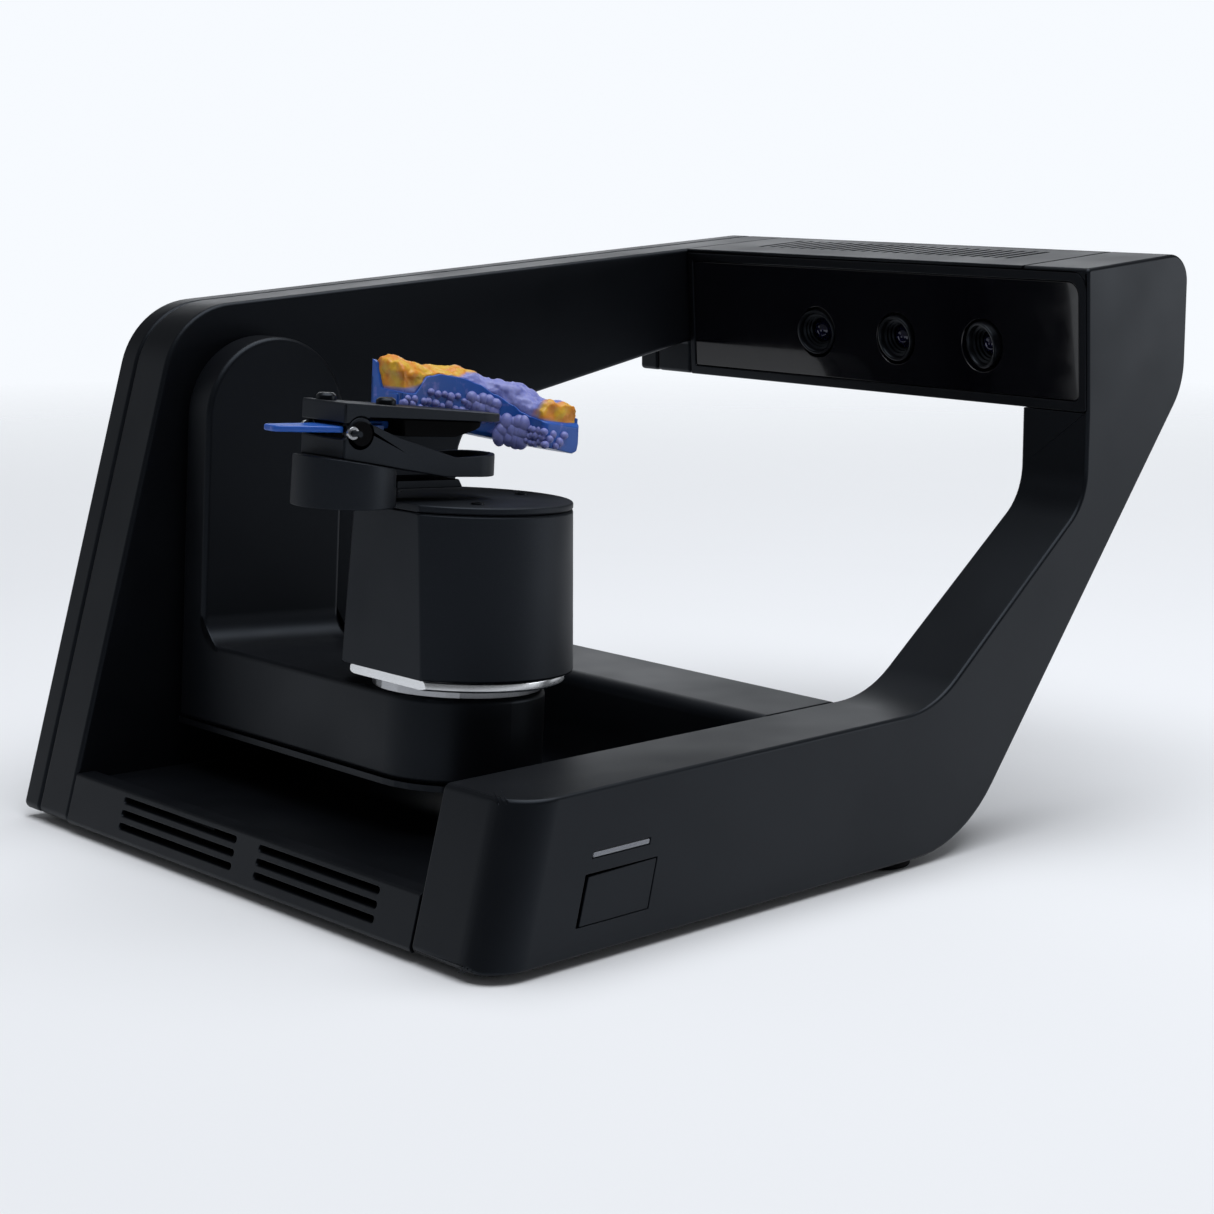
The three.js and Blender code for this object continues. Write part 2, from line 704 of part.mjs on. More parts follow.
// Flanged pivot pins, the socket screws that keep them, and the knobs on the upper jaw.
function clampFasteners() {
  const screwX = PIVOT_X - 4.4;
  const screwZ = PIVOT_Z + 0.3;
  [-1, 1].forEach((side, i) => {
    const rod = (radius, from, to, x, z, sides) =>
      rodY(radius, x, z, Math.min(side * from, side * to), Math.max(side * from, side * to), sides);
    const flange = rod(4.6, 14.3, 15.1, PIVOT_X, PIVOT_Z, 24);
    const stub = rod(1.45, 9, 14.4, PIVOT_X, PIVOT_Z, 16);
    const notch = rod(2.5, 14, 16, screwX, screwZ, 20);
    piece(`pivot_pin_${i + 1}`, cut(join(flange, stub), notch), "dark", table);
    const head = rod(2.2, 14.3, 15.8, screwX, screwZ, 24);
    const shank = rod(0.9, 12.6, 14.4, screwX, screwZ, 12);
    const socket = rod(1.1, 14.9, 17, screwX, screwZ, 6);
    piece(`pin_screw_${i + 1}`, cut(join(head, shank), socket), "steel", table);
  });
  const profile = [
    [0, -0.5],
    [3.8, -0.5],
    [3.8, 1.6],
    [2.9, 2.6],
    [0, 2.8],
  ];
  CLAMP_KNOBS.forEach(([x, y, z], i) => {
    piece(`clamp_knob_${i + 1}`, turned(profile, 24).translate(x, y, z), "dark", table);
  });
}

// Upright round block beside the lid, cut off along the underside of the lower jaw.
function clampPuck() {
  const side = [
    [0, 143.9],
    [PUCK_RADIUS - 0.4, 143.9],
    [PUCK_RADIUS, 144.4],
    [PUCK_RADIUS - 0.6, 170],
    [0, 170],
  ];
  const jawUnderside = [
    [-100, 165.9],
    [CLAMP_LEFT, 162],
    [-44.1, 158.4],
    [-27, 155.3],
    [-13, 154.4],
    [-13, 190],
    [-100, 190],
  ];
  return cut(turned(side, 48).translate(PUCK_X, 0, 0), alongY(jawUnderside, -40, 40));
}

// Bar that carries the puck over the lid, hollowed to the puck's side, with its leg.
function clampBridge() {
  const bar = [
    [-46, 150.4],
    [-8.7, 150.4],
    [-10.6, 153.5],
    [-46, 153.5],
  ];
  const leg = post(3.5, -31, 7, LID_TOP + GAP, 150.6, 20);
  const round = post(PUCK_RADIUS + GAP, PUCK_X, 0, 140, 170, 48);
  return cut(join(alongY(bar, -10, 10), leg), round);
}

function clampLower() {
  const side = [
    [CLAMP_LEFT, 162.4, 0.8],
    [-44.1, 158.8, 20],
    [-20, 154.8, 14],
    [10.3, 154.2, 0.8],
    [10.3, 162.9, 0.8],
    [-15, 162.1, 12],
    [-42.3, 169.95, 6],
    [-56, 175.4],
    [-62, 173],
    [CLAMP_LEFT, 169.7, 0.8],
  ];
  const lug = rodY(6, PIVOT_X, PIVOT_Z, -CLAMP_HALF, CLAMP_HALF, 32);
  const mouth = [
    [-69, 190],
    [-69, 169.7],
    [-65.4, 169.7],
    [-60.4, 163.2],
    [-15, 157.5],
    [7.9, 157.3],
    [7.9, 190],
  ];
  const hollow = common(
    alongY(mouth, -EAR_INNER, EAR_INNER),
    jawPlan(EAR_INNER, -90, 7.9, 140, 195),
  );
  const jaw = join(alongY(side, -CLAMP_HALF, CLAMP_HALF), lug);
  const plan = jawPlan(CLAMP_HALF, CLAMP_LEFT, 10.3, 140, 190);
  const pinBore = rodY(1.75, PIVOT_X, PIVOT_Z, -20, 20, 16);
  const screwBore = rodY(1.1, PIVOT_X - 4.4, PIVOT_Z + 0.3, -20, 20, 12);
  return cut(common(jaw, plan), hollow, pinBore, screwBore);
}

function clampUpper() {
  const side = [
    [CLAMP_LEFT, 175.6, 0.6],
    [-60, 175.6],
    [-56, 177.6],
    [12, 175.1, 0.3],
    [12, 178, 0.5],
    [CLAMP_LEFT, 183.1, 1],
  ];
  const neck = [
    [-64.4, 176.5],
    [-64.4, PIVOT_Z],
    [-56, PIVOT_Z],
    [-55, 178.5],
    [-62, 179],
  ];
  const cheeks = rodY(4.3, PIVOT_X, PIVOT_Z, -11.4, 11.4, 28);
  const passage = box(-70, -50, -7.6, 7.6, 160, 175.7);
  const lever = cut(
    alongY(side, -CLAMP_HALF, CLAMP_HALF),
    ...pivotRods(6.4, EAR_INNER - 0.3, 20, 32),
  );
  const body = cut(join(lever, alongY(neck, -11.4, 11.4), cheeks), passage);
  const plan = jawPlan(CLAMP_HALF, CLAMP_LEFT, 12, 140, 190);
  const bore = rodY(1.6, PIVOT_X, PIVOT_Z, -20, 20, 16);
  const seats = CLAMP_KNOBS.map(([x, y, z]) => post(4.1, x, y, z - 0.8, 190, 24));
  return cut(common(body, plan), bore, ...seats);
}

// ---- sample: a perforated quarter-arch tray with its set impression ----
function arch(inset, z0, z1) {
  const half = 9.5 - inset;
  const route = [[-19, 27], [2, 28.5], [22, 25.5], [36, 15], [41.8, 4], [42.5, -6.5]];
  const line = new THREE.CatmullRomCurve3(route.map(([x, y]) => new THREE.Vector3(x, y, 0)));
  const points = line.getSpacedPoints(18);
  const sides = [1, -1].map((side) =>
    points.map((p, i) => {
      const t = line.getTangentAt(i / 18);
      const ends = i === 0 ? -inset : i === 18 ? inset : 0;
      return [p.x - side * t.y * half - t.x * ends, p.y + side * t.x * half - t.y * ends];
    }),
  );
  return alongZ([...sides[1], ...sides[0].reverse()], z0, z1);
}

const drooped = (geometry) =>
  reshaped(geometry, (p) => {
    p.z -= 0.2 * p.x;
  });

// The top of an arch rises in the middle of its length.
const heaped = (geometry, height) =>
  reshaped(geometry, (p) => {
    const share = Math.min((p.x + 21) / 20, (42 - p.x) / 14);
    if (p.z > 180) p.z += height * THREE.MathUtils.clamp(share, 0, 1);
  });

function sampleParts() {
  const trough = heaped(cut(arch(0, 171.5, 186), arch(2, 174, 190)), 3.5);
  const gripPlan = [
    [-91.3, -4.5, 3],
    [-68.2, -12, 1],
    [-66.6, -12, 0.5],
    [-65.4, -6.5, 0.5],
    [-44, -6.5, 0.5],
    [-44, 6.5, 0.5],
    [-66.5, 6.5],
    [-91.3, 5, 3],
  ];
  const neckPlan = [
    [-50, -4],
    [-40.2, -4],
    [-40.2, 14],
    [-17, 22],
    [-19, 31],
    [-46, 16],
    [-50, 5],
  ];
  const grip = alongZ(gripPlan, 172, 174.3);
  const neck = alongZ(neckPlan, 172.6, 175.5);
  const rise = box(-19, -9, 20, 31, 172.6, 184);
  const holder = join(grip, neck, rise);
  const tray = cut(join(drooped(trough), holder), drooped(arch(2, 174, 210)));
  piece("sample_tray", tray, "tray", table);
  piece("sample_impression", drooped(heaped(arch(2.3, 174.3, 192), 5.5)), "silicone", table);
}

baseParts();
piece("head_housing", headHousing(), "shell");
piece("head_top_cover", headTopCover(), "shell");
headPanel();
opticsParts();
controlParts();
electronicsParts();
swingParts();
armParts();
tableParts();
clampParts();
sampleParts();

// The origin is the middle of the footprint, at the underside of the feet.
scanner.updateMatrixWorld(true);
const bounds = new THREE.Box3().setFromObject(scanner, true);
const middle = bounds.getCenter(new THREE.Vector3());
const assembly = new THREE.Group();
assembly.add(scanner);
scanner.position.set(-middle.x, -middle.y, -bounds.min.z);

export default assembly;
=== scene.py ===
"""Looks of the open-frame bench scanner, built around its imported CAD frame.

Shapes are worked out in the design's own millimetres (X from the user towards the head, Y from the
near side to the far side, Z up) and moved into the frame, in metres, as each piece is made.
"""
import json
import math
import random

import bmesh
import bpy
from mathutils import Matrix, Vector, noise

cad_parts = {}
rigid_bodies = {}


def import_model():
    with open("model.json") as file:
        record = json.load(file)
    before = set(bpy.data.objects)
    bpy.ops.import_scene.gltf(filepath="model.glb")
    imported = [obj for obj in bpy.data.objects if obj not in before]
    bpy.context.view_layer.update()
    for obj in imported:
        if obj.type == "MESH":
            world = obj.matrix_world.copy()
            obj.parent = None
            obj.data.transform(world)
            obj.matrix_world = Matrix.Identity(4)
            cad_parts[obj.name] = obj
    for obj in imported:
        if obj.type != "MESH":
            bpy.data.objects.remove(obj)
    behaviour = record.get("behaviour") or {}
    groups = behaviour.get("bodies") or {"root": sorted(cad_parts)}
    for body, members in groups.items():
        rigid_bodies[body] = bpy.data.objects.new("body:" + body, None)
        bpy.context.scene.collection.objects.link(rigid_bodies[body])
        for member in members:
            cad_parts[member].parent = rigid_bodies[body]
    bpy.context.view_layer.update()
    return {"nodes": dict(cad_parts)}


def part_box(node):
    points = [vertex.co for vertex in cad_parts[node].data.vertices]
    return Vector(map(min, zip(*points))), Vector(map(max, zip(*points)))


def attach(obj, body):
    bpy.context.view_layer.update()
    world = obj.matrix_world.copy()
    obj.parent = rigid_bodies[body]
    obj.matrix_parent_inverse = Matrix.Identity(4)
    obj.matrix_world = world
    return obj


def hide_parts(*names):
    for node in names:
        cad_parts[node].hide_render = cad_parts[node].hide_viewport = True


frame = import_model()

# ---- driving dimensions, mm and degrees ----
MM = 0.001
WIDTH = 320
TOE_IN = 0.061  # how far each side leans inward for each mm towards the head
FRONT_SLOPE = 0.28  # how far the front leans back for each mm of height
TOP_AT_FRONT = 207.8
TOP_RISE = 0.065  # how far the top rises for each mm towards the head
RAIL_TOP = 59.4
RAIL_THICK = 44.4
RAIL_THINNING = 0.0006  # share of its thickness that the rail loses for each mm
VENT_HALF = 1.3  # half the height of a slot in the sill
FRONT_CORNER = 18  # radius of the rail's front corner, seen from above
FAR_INNER = 283.8  # inner face of the far frame, at the front
FAR_SPLIT = 307.5  # where the far cover meets the far frame
BACK = 402.5
# openings in the near rail and the pieces that fill them, as (x, z) corners with radii
LIGHT_SLOT = [(49.6, 34.5), (78, 34.5), (78.6, 36.9), (50.3, 36.9)]
LIGHT_FACE = [(49.9, 34.8, 0.5), (77.7, 34.8, 0.5), (78.2, 36.6, 0.5), (50.5, 36.6, 0.5)]
KEY_SLOT = [(41.5, 10.8), (77.2, 10.8), (81.95, 29.2), (46.5, 29.2)]
KEY_FACE = [(43.1, 10.9, 0.5), (77.1, 10.9, 0.5), (81.75, 28.9, 0.5), (47.9, 28.2, 1)]
HEAD_FRONT = 333.4
HEAD_BOTTOM = 170
HEAD_SPACE = (300, 420, 160, 240)  # x and z limits of a block round the head
HEAD_LEAN = 0.05  # how far the head's front leans towards the user for each mm upwards
HEAD_RAKE = HEAD_FRONT + HEAD_LEAN * HEAD_BOTTOM
GAP = 0.3  # between pieces that lie against each other
FEET = [(21, 21), (222, 27), (21, 295.5), (205, 283)]
# the swing axis, and the turntable's axis on the arm
HUB_X = 93
HUB_Z = 165
SWING_AT_REST = 3.5
TABLE_Y = 128.8
ARM_HALF = 34.5
ARM_BACK = 274.7  # y of the upright's back and face
ARM_FACE = 258
FOOT_TOP = 71.7
FOOT_BOTTOM = 38.3
RISER_BOTTOM = 79.5
RISER_TOP = 142.4
LID_TOP = 145.5
SCREW_CIRCLE = 29  # radius on which the lid's screws lie
SCREW_ANGLES = (-118, 2, 122)
FACET = -37.2  # where the drum is cut flat, from the turntable's axis
LENS_Z = 194.5
LENS_HOLE = 11.4
LENS_DOWN = 9  # degrees that the optics look down at the table
# y of each lens, and the degrees that it turns about Z to look at the middle
LENSES = {"camera_left": (177.8, 11), "projector": (128.8, 0), "camera_right": (78.6, -11)}
CLAMP_HALF = 14
CLAMP_LEFT = -67.6
EAR_INNER = 11.8
PIVOT_X = -60.2
PIVOT_Z = 171.7
PUCK_X = -57.2
PUCK_RADIUS = 19.7
CLAMP_KNOBS = [(-61.5, 7, 182.7), (-39, 0, 181.3)]
# the sample's centre line from above, from the turntable's axis
SAMPLE_ROUTE = [(-19, 27), (2, 28.5), (22, 25.5), (36, 15), (41.8, 4), (42.5, -6.5)]
# heights at parts of the sample's length, before it droops
TRAY_RIM = [
    (0, 180.8), (0.07, 181.4), (0.14, 190), (0.2, 191.8), (0.3, 192.3), (0.4, 191.4),
    (0.5, 188.8), (0.6, 186), (0.7, 183.8), (0.8, 182.6), (1, 181.6),
]
HEAP_TOP = [
    (0, 193.5), (0.1, 194.8), (0.2, 196), (0.4, 197), (0.5, 196.8), (0.6, 195.4), (0.7, 193.2),
    (0.8, 191.8), (1, 190.6),
]
# silicone through the tray's holes: stretch of the sample, heights, how many, radii, tallness
BEADS = [
    (0.0, 0.12, 174, 180.5, 9, 1.4, 1.9, 1), (0.12, 0.32, 174.5, 186.5, 18, 1.4, 2.0, 1),
    (0.32, 0.52, 178, 187.5, 16, 1.9, 2.7, 1.1), (0.52, 0.74, 171.5, 181, 12, 2.3, 3.1, 1.35),
    (0.75, 1.11, 171.8, 179, 18, 1.3, 1.9, 1),
]
SAMPLE_HALF = 9.4  # half the tray's width
ROUND_THE_END = 95  # mm across the sample's end for a stretch of 1 past it
DROOP = 0.2  # how far the sample falls for each mm towards the head
ARC_STEP = 0.09  # radians between the points of an arc

# ---- the design's millimetres in the frame's metres ----
foot_low, foot_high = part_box("foot_1")
FOOT_CENTRE = Vector((*FEET[0], -1.9))
in_metres = Matrix.Scale(MM, 4) @ Matrix.Translation(-FOOT_CENTRE)
BASE = Matrix.Translation((foot_low + foot_high) / 2) @ in_metres
HUB = Matrix.Translation((HUB_X, 0, HUB_Z))
ARM = BASE @ HUB @ Matrix.Rotation(math.radians(SWING_AT_REST), 4, "Y") @ HUB.inverted()
TABLE = ARM @ Matrix.Translation((HUB_X, TABLE_Y, 0))


def top(x):
    return TOP_AT_FRONT + TOP_RISE * x


# ---- outlines and solids ----
def rounded_corner(at, before, after, radius):
    """Points of the arc that rounds the corner at a point between two directions."""
    half = before.angle(after) / 2
    start = at + before * (radius / math.tan(half))
    end = at + after * (radius / math.tan(half))
    centre = at + (before + after).normalized() * (radius / math.sin(half))
    first = math.atan2(start.y - centre.y, start.x - centre.x)
    turn = math.atan2(end.y - centre.y, end.x - centre.x) - first
    turn = math.atan2(math.sin(turn), math.cos(turn))
    count = max(3, math.ceil(abs(turn) / ARC_STEP))
    angles = [first + turn * i / count for i in range(count + 1)]
    return [centre + radius * Vector((math.cos(a), math.sin(a))) for a in angles]


def outline(corners):
    """Closed outline through (x, y, radius) corners; a corner with no radius stays sharp."""
    points = []
    for i, (x, y, *radius) in enumerate(corners):
        at = Vector((x, y))
        before = (Vector(corners[i - 1][:2]) - at).normalized()
        after = (Vector(corners[(i + 1) % len(corners)][:2]) - at).normalized()
        points += rounded_corner(at, before, after, radius[0]) if radius else [at]
    return points


def finished(bm):
    """A mesh from a bmesh, with tiny edges merged and its faces turned outwards."""
    bmesh.ops.remove_doubles(bm, verts=bm.verts, dist=0.01)
    bmesh.ops.dissolve_degenerate(bm, edges=bm.edges, dist=0.005)
    bmesh.ops.recalc_face_normals(bm, faces=bm.faces)
    mesh = bpy.data.meshes.new("shape")
    bm.to_mesh(mesh)
    bm.free()
    return mesh


def lofted(rings):
    """A solid through rings of equal point counts, with flat ends."""
    bm = bmesh.new()
    rows = [[bm.verts.new(p) for p in ring] for ring in rings]
    bm.faces.new(rows[0])
    bm.faces.new(rows[-1])
    for a, b in zip(rows, rows[1:]):
        for i in range(len(a)):
            j = (i + 1) % len(a)
            bm.faces.new((a[i], a[j], b[j], b[i]))
    return finished(bm)


def prism(axis, corners, low, high):
    """An outline carried along an axis: x takes (y, z) corners, y takes (x, z), z takes (x, y)."""
    place = {
        "x": lambda u, v, w: (w, u, v),
        "y": lambda u, v, w: (u, w, v),
        "z": lambda u, v, w: (u, v, w),
    }[axis]
    points = outline(corners)
    return lofted([[place(u, v, w) for u, v in points] for w in (low, high)])


def box(x0, x1, y0, y1, z0, z1):
    return prism("z", [(x0, y0), (x1, y0), (x1, y1), (x0, y1)], z0, z1)


def turned(profile, sides=96):
    """A solid turned about Z through (radius, z) points that start and end on the axis."""
    bm = bmesh.new()
    rows = []
    for radius, z in profile:
        if radius == 0:
            rows.append([bm.verts.new((0, 0, z))] * sides)
            continue
        angles = [2 * math.pi * i / sides for i in range(sides)]
        rows.append([bm.verts.new((radius * math.cos(a), radius * math.sin(a), z)) for a in angles])
    for a, b in zip(rows, rows[1:]):
        for i in range(sides):
            j = (i + 1) % sides
            corners = list(dict.fromkeys((a[i], a[j], b[j], b[i])))
            if len(corners) > 2:
                bm.faces.new(corners)
    return finished(bm)


def moved(mesh, x=0, y=0, z=0):
    mesh.transform(Matrix.Translation((x, y, z)))
    return mesh


def rod(axis, radius, at, low, high, sides=64):
    """A round rod along an axis; at gives its two other coordinates, in x, y, z order."""
    angles = [2 * math.pi * i / sides for i in range(sides)]
    points = [(at[0] + radius * math.cos(a), at[1] + radius * math.sin(a)) for a in angles]
    return prism(axis, points, low, high)


def evaluated(mesh, modifier_type, operand=None, **settings):
    """The mesh with one modifier applied; an operand mesh becomes the modifier's object."""
    scene = bpy.context.scene.collection.objects
    made = [bpy.data.objects.new("operand", m) for m in (mesh, operand) if m]
    for obj in made:
        scene.link(obj)
    modifier = made[0].modifiers.new("step", modifier_type)
    for key, value in settings.items():
        setattr(modifier, key, value)
    if operand:
        modifier.object = made[1]
    graph = bpy.context.evaluated_depsgraph_get()
    result = bpy.data.meshes.new_from_object(made[0].evaluated_get(graph))
    for obj in made:
        bpy.data.objects.remove(obj)
    bm = bmesh.new()
    bm.from_mesh(result)
    return finished(bm)


def joined(first, *others):
    for other in others:
        first = evaluated(first, "BOOLEAN", other, operation="UNION", solver="EXACT")
    return first


def cut(body, *tools):
    for tool in tools:
        body = evaluated(body, "BOOLEAN", tool, operation="DIFFERENCE", solver="EXACT")
    return body


def common(a, b):
    return evaluated(a, "BOOLEAN", b, operation="INTERSECT", solver="EXACT")


def softened(mesh, width, angle=31, segments=3):
    """The mesh with every edge sharper than an angle rounded to a width."""
    return evaluated(
        mesh, "BEVEL", width=width, segments=segments, limit_method="ANGLE",
        angle_limit=math.radians(angle), use_clamp_overlap=False, loop_slide=True,
    )


def merged(*meshes):
    """Several separate solids as one mesh."""
    bm = bmesh.new()
    for mesh in meshes:
        bm.from_mesh(mesh)
    return finished(bm)


def reshaped(mesh, rule):
    for vertex in mesh.vertices:
        vertex.co = rule(*vertex.co)
    return mesh


def near_side(mesh):
    return reshaped(mesh, lambda x, y, z: (x, y * (1 - RAIL_THINNING * x) + TOE_IN * x, z))


def far_side(mesh):
    return reshaped(mesh, lambda x, y, z: (x, y - TOE_IN * x, z))


def raked(mesh):
    return reshaped(mesh, lambda x, y, z: (x + HEAD_RAKE - HEAD_LEAN * z, y, z))


def between(x0, x1, z0, z1):
    """A block that fills the space between the two side frames."""
    corners = []
    for x in (x0, x1):
        corners.append((x, RAIL_THICK * (1 - RAIL_THINNING * x) + TOE_IN * x + GAP))
    for x in (x1, x0):
        corners.append((x, FAR_INNER - TOE_IN * x - GAP))
    return prism("z", corners, z0, z1)


# ---- materials ----
class Nodes:
    """A material's node tree with short calls for the nodes used here."""

    def __init__(self, name, colour, roughness, **settings):
        self.material = bpy.data.materials.new(name)
        self.material.use_nodes = True
        self.tree = self.material.node_tree
        self.shader = self.tree.nodes["Principled BSDF"]
        self.set("Base Color", (*colour, 1))
        self.set("Roughness", roughness)
        for key, value in settings.items():
            self.set(key.replace("_", " "), value)
        self.place = self.tree.nodes.new("ShaderNodeTexCoord").outputs["Object"]

    def set(self, socket, value):
        self.shader.inputs[socket].default_value = value

    def link(self, output, socket):
        self.tree.links.new(output, self.shader.inputs[socket])

    def node(self, kind, inputs=None, **settings):
        made = self.tree.nodes.new("ShaderNode" + kind)
        for key, value in settings.items():
            setattr(made, key, value)
        for key, value in (inputs or {}).items():
            if isinstance(value, bpy.types.NodeSocket):
                self.tree.links.new(value, made.inputs[key])
            else:
                made.inputs[key].default_value = value
        return made

    def noise(self, size_mm, detail, stretch=None):
        """Noise between 0 and 1 with patches of about a size, drawn out along an axis if asked."""
        place = self.place
        if stretch:
            place = self.node("Mapping", {"Vector": place, "Scale": stretch}).outputs["Vector"]
        inputs = {"Vector": place, "Scale": 1 / (size_mm * MM), "Detail": detail}
        return self.node("TexNoise", inputs).outputs["Fac"]

    def ramp(self, value, low, high, start, end):
        """Maps a value between start and end to low..high."""
        inputs = {"Value": value, "From Min": start, "From Max": end, "To Min": low, "To Max": high}
        return self.node("MapRange", inputs).outputs["Result"]

    def mixed(self, factor, a, b):
        """A colour between a and b; each is a colour or a socket."""
        made = self.node("Mix", {"Factor": factor}, data_type="RGBA")
        for key, value in ((6, a), (7, b)):
            if isinstance(value, bpy.types.NodeSocket):
                self.tree.links.new(value, made.inputs[key])
            else:
                made.inputs[key].default_value = (*value, 1)
        return made.outputs[2]

    def bump(self, height, depth_mm, strength):
        inputs = {"Height": height, "Distance": depth_mm * MM, "Strength": strength}
        self.link(self.node("Bump", inputs).outputs["Normal"], "Normal")


def moulded_plastic(name, colour, roughness, grain_mm, depth_mm, specular):
    """Grained moulding: fine bumps, faint light specks, and broad uneven sheen."""
    m = Nodes(name, colour, roughness, Specular_IOR_Level=specular)
    m.set("Specular Tint", (0.74, 0.85, 1.0, 1))
    grain = m.noise(grain_mm, 3)
    broad = m.noise(45, 2)
    light = tuple(c * 2.2 + 0.001 for c in colour)
    m.link(m.mixed(m.ramp(grain, 0, 1, 0.55, 0.78), colour, light), "Base Color")
    m.link(m.ramp(broad, roughness - 0.05, roughness + 0.05, 0.3, 0.7), "Roughness")
    m.bump(grain, depth_mm, 0.5)
    return m.material


def gloss_black(name):
    """Piano-black panel with a hard clear coat and faint waves."""
    m = Nodes(name, (0.0025, 0.0025, 0.004), 0.06, Specular_IOR_Level=0.5, Coat_Weight=0.35,
              Coat_Roughness=0.02)
    m.link(m.ramp(m.noise(14, 3), 0.04, 0.12, 0.3, 0.7), "Roughness")
    m.bump(m.noise(60, 1), 0.15, 0.15)
    return m.material


def lens_glass():
    m = Nodes("lens_glass", (0.004, 0.006, 0.016), 0.03, Specular_IOR_Level=0.5, Coat_Weight=0.4,
              Coat_Roughness=0.01, Coat_Tint=(0.45, 0.5, 1.0, 1))
    m.link(m.mixed(m.noise(6, 1), (0.003, 0.004, 0.012), (0.008, 0.006, 0.03)), "Base Color")
    return m.material


def machined(name, colour, roughness, stretch):
    """Brushed metal: noise drawn out along the brushing."""
    m = Nodes(name, colour, roughness, Metallic=1.0)
    brushed = m.noise(0.5, 4, stretch)
    dark = tuple(c * 0.82 for c in colour)
    m.link(m.mixed(m.ramp(brushed, 0, 1, 0.35, 0.65), dark, colour), "Base Color")
    m.link(m.ramp(brushed, roughness - 0.06, roughness + 0.08, 0.3, 0.7), "Roughness")
    m.bump(brushed, 0.01, 0.3)
    return m.material


def rubber(name):
    m = Nodes(name, (0.003, 0.003, 0.0035), 0.75, Specular_IOR_Level=0.06)
    m.link(m.mixed(m.noise(1.2, 4), (0.0012, 0.0012, 0.0015), (0.003, 0.003, 0.0034)), "Base Color")
    m.bump(m.noise(0.5, 3), 0.03, 0.5)
    return m.material


def circuit_board():
    """Green solder mask with a faint pattern of copper lands under it."""
    m = Nodes("circuit_board", (0.01, 0.09, 0.035), 0.35)
    cells = m.node("TexVoronoi", {"Vector": m.place, "Scale": 260.0}, feature="DISTANCE_TO_EDGE")
    lines = m.ramp(cells.outputs["Distance"], 1, 0, 0.02, 0.08)
    m.link(m.mixed(lines, (0.008, 0.07, 0.028), (0.03, 0.18, 0.06)), "Base Color")
    m.bump(lines, 0.02, 0.5)
    return m.material


def diffuser():
    """Milky window of the status light."""
    m = Nodes("diffuser", (0.5, 0.51, 0.56), 0.35, Emission_Strength=0.01, Subsurface_Weight=0.3)
    m.set("Emission Color", (0.85, 0.9, 1.0, 1))
    m.set("Subsurface Radius", (0.002, 0.002, 0.002))
    m.link(m.mixed(m.noise(3, 2), (0.16, 0.17, 0.19), (0.24, 0.25, 0.28)), "Base Color")
    return m.material


def tray_plastic():
    """Blue injection-moulded tray, a little cloudy, with lilac streaks of set silicone."""
    m = Nodes("tray_plastic", (0.02, 0.07, 0.36), 0.34, Specular_IOR_Level=0.5, Subsurface_Weight=0.15)
    m.set("Subsurface Radius", (0.0008, 0.001, 0.003))
    m.set("Subsurface Scale", 1.0)
    smear = m.ramp(m.noise(5, 4), 0, 1, 0.6, 0.72)
    blue = m.mixed(m.noise(9, 2), (0.009, 0.075, 0.38), (0.018, 0.12, 0.5))
    m.link(m.mixed(smear, blue, (0.14, 0.17, 0.55)), "Base Color")
    m.bump(m.noise(1.6, 4), 0.12, 0.5)
    return m.material


def silicone():
    """Set impression silicone: lilac body that runs to yellow and orange where tint is high."""
    m = Nodes("silicone", (0.2, 0.22, 0.55), 0.42, Specular_IOR_Level=0.45, Subsurface_Weight=0.25)
    m.set("Subsurface Radius", (0.002, 0.0015, 0.001))
    m.set("Subsurface Scale", 1.0)
    tint = m.node("Attribute", attribute_name="tint").outputs["Fac"]
    lilac = m.mixed(m.noise(4, 3), (0.15, 0.17, 0.46), (0.26, 0.28, 0.62))
    warm = m.mixed(m.ramp(m.noise(6, 3), 0, 1, 0.42, 0.58), (0.7, 0.41, 0.03), (0.7, 0.25, 0.02))
    m.link(m.mixed(tint, lilac, warm), "Base Color")
    m.bump(m.noise(1.1, 4), 0.15, 0.6)
    return m.material


SHELL = moulded_plastic("shell_plastic", (0.0016, 0.0018, 0.0026), 0.42, 0.28, 0.015, 0.24)
CLAMP = moulded_plastic("clamp_plastic", (0.0045, 0.0052, 0.0070), 0.5, 0.35, 0.02, 0.3)
DARK = moulded_plastic("dark_plastic", (0.0016, 0.0016, 0.0022), 0.36, 0.6, 0.008, 0.25)
GLOSS = gloss_black("gloss_black")
GLASS = lens_glass()
STEEL = machined("steel", (0.5, 0.51, 0.53), 0.3, (1, 1, 12))
SILVER = machined("silver_ring", (0.86, 0.87, 0.88), 0.22, (1, 1, 30))
RUBBER = rubber("rubber")
BOARD = circuit_board()
LAMP = diffuser()
TRAY = tray_plastic()
SILICONE = silicone()


# ---- pieces ----
def piece(name, mesh, material, body, nodes, place=BASE, sharp=36):
    """Puts a mesh into the scene as a piece of a body that stands for some CAD nodes."""
    mesh.transform(place)
    mesh.name = name
    mesh.materials.append(material)
    for polygon in mesh.polygons:
        polygon.use_smooth = True
    mesh.set_sharp_from_angle(angle=math.radians(sharp))
    obj = bpy.data.objects.new(name, mesh)
    bpy.context.scene.collection.objects.link(obj)
    weighted = obj.modifiers.new("normals", "WEIGHTED_NORMAL")
    weighted.keep_sharp = True
    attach(obj, body)
    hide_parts(*nodes)
    return obj


